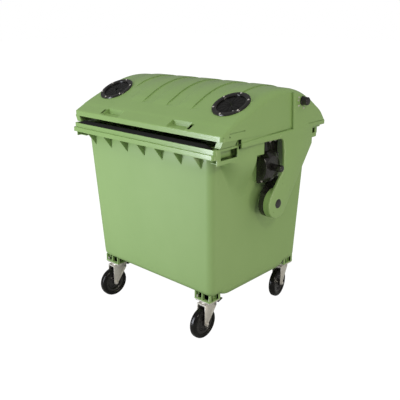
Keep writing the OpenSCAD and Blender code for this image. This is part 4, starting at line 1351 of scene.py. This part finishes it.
def make_world():
    """Even light all round; the camera sees white and reflections a dimmer room."""
    world = bpy.data.worlds.new("studio")
    world.use_nodes = True
    SCENE.world = world
    tree = world.node_tree
    tree.nodes.clear()
    path = tree.nodes.new("ShaderNodeLightPath")
    strength = ROOM_LEVEL
    seen = {"Is Glossy Ray": MIRRORED_LEVEL, "Is Transmission Ray": 1.0, "Is Camera Ray": 1.0}
    for ray, value in seen.items():
        choice = tree.nodes.new("ShaderNodeMix")
        tree.links.new(path.outputs[ray], choice.inputs["Factor"])
        if isinstance(strength, float):
            choice.inputs["A"].default_value = strength
        else:
            tree.links.new(strength, choice.inputs["A"])
        choice.inputs["B"].default_value = value
        strength = choice.outputs["Result"]
    light = tree.nodes.new("ShaderNodeBackground")
    light.inputs["Color"].default_value = (1, 1, 1, 1)
    tree.links.new(strength, light.inputs["Strength"])
    output = tree.nodes.new("ShaderNodeOutputWorld")
    tree.links.new(light.outputs[0], output.inputs["Surface"])


def make_floor():
    """Pale floor that the camera sees nearly white, with the soft shadow left on it."""
    material = bpy.data.materials.new("pale_floor")
    material.use_nodes = True
    tree = material.node_tree
    tree.nodes.clear()
    path = tree.nodes.new("ShaderNodeLightPath")
    share = tree.nodes.new("ShaderNodeMath")
    share.operation = "MULTIPLY"
    share.inputs[1].default_value = FLOOR_SHARE
    tree.links.new(path.outputs["Is Camera Ray"], share.inputs[0])
    pale = tree.nodes.new("ShaderNodeBsdfDiffuse")
    pale.inputs["Color"].default_value = (0.42, 0.42, 0.41, 1)
    white = tree.nodes.new("ShaderNodeEmission")
    white.inputs["Strength"].default_value = FLOOR_GLOW
    mixed = tree.nodes.new("ShaderNodeMixShader")
    tree.links.new(share.outputs[0], mixed.inputs[0])
    tree.links.new(pale.outputs[0], mixed.inputs[1])
    tree.links.new(white.outputs[0], mixed.inputs[2])
    output = tree.nodes.new("ShaderNodeOutputMaterial")
    tree.links.new(mixed.outputs[0], output.inputs["Surface"])
    mesh = bpy.data.meshes.new("floor")
    far = FLOOR_FAR
    mesh.from_pydata([(-far, -far, 0), (far, -far, 0), (far, far, 0), (-far, far, 0)], [], [(0, 1, 2, 3)])
    mesh.materials.append(material)
    floor = bpy.data.objects.new("floor", mesh)
    SCENE.collection.objects.link(floor)


make_tub()
make_lid()
make_rosettes()
make_fittings()
make_bracket_bolts()
make_seal()
make_pivot_caps()
for spot in PLACES:
    make_wheel(spot)

SCENE.view_settings.view_transform = "Standard"
make_camera()
make_world()
make_floor()
soft_box("front_strip", (-1.03, -2.82, 1.0), (0.6, 1.9), 48, (0.95, 0.99, 1.08))
soft_box("side_strip", (2.93, 0.62, 0.35), (0.35, 0.7), 9, (1.06, 0.99, 0.8))
soft_box("camera_side", (3.3, -1.75, 3.2), (0.4, 0.4), 26, (1.06, 0.99, 0.84))
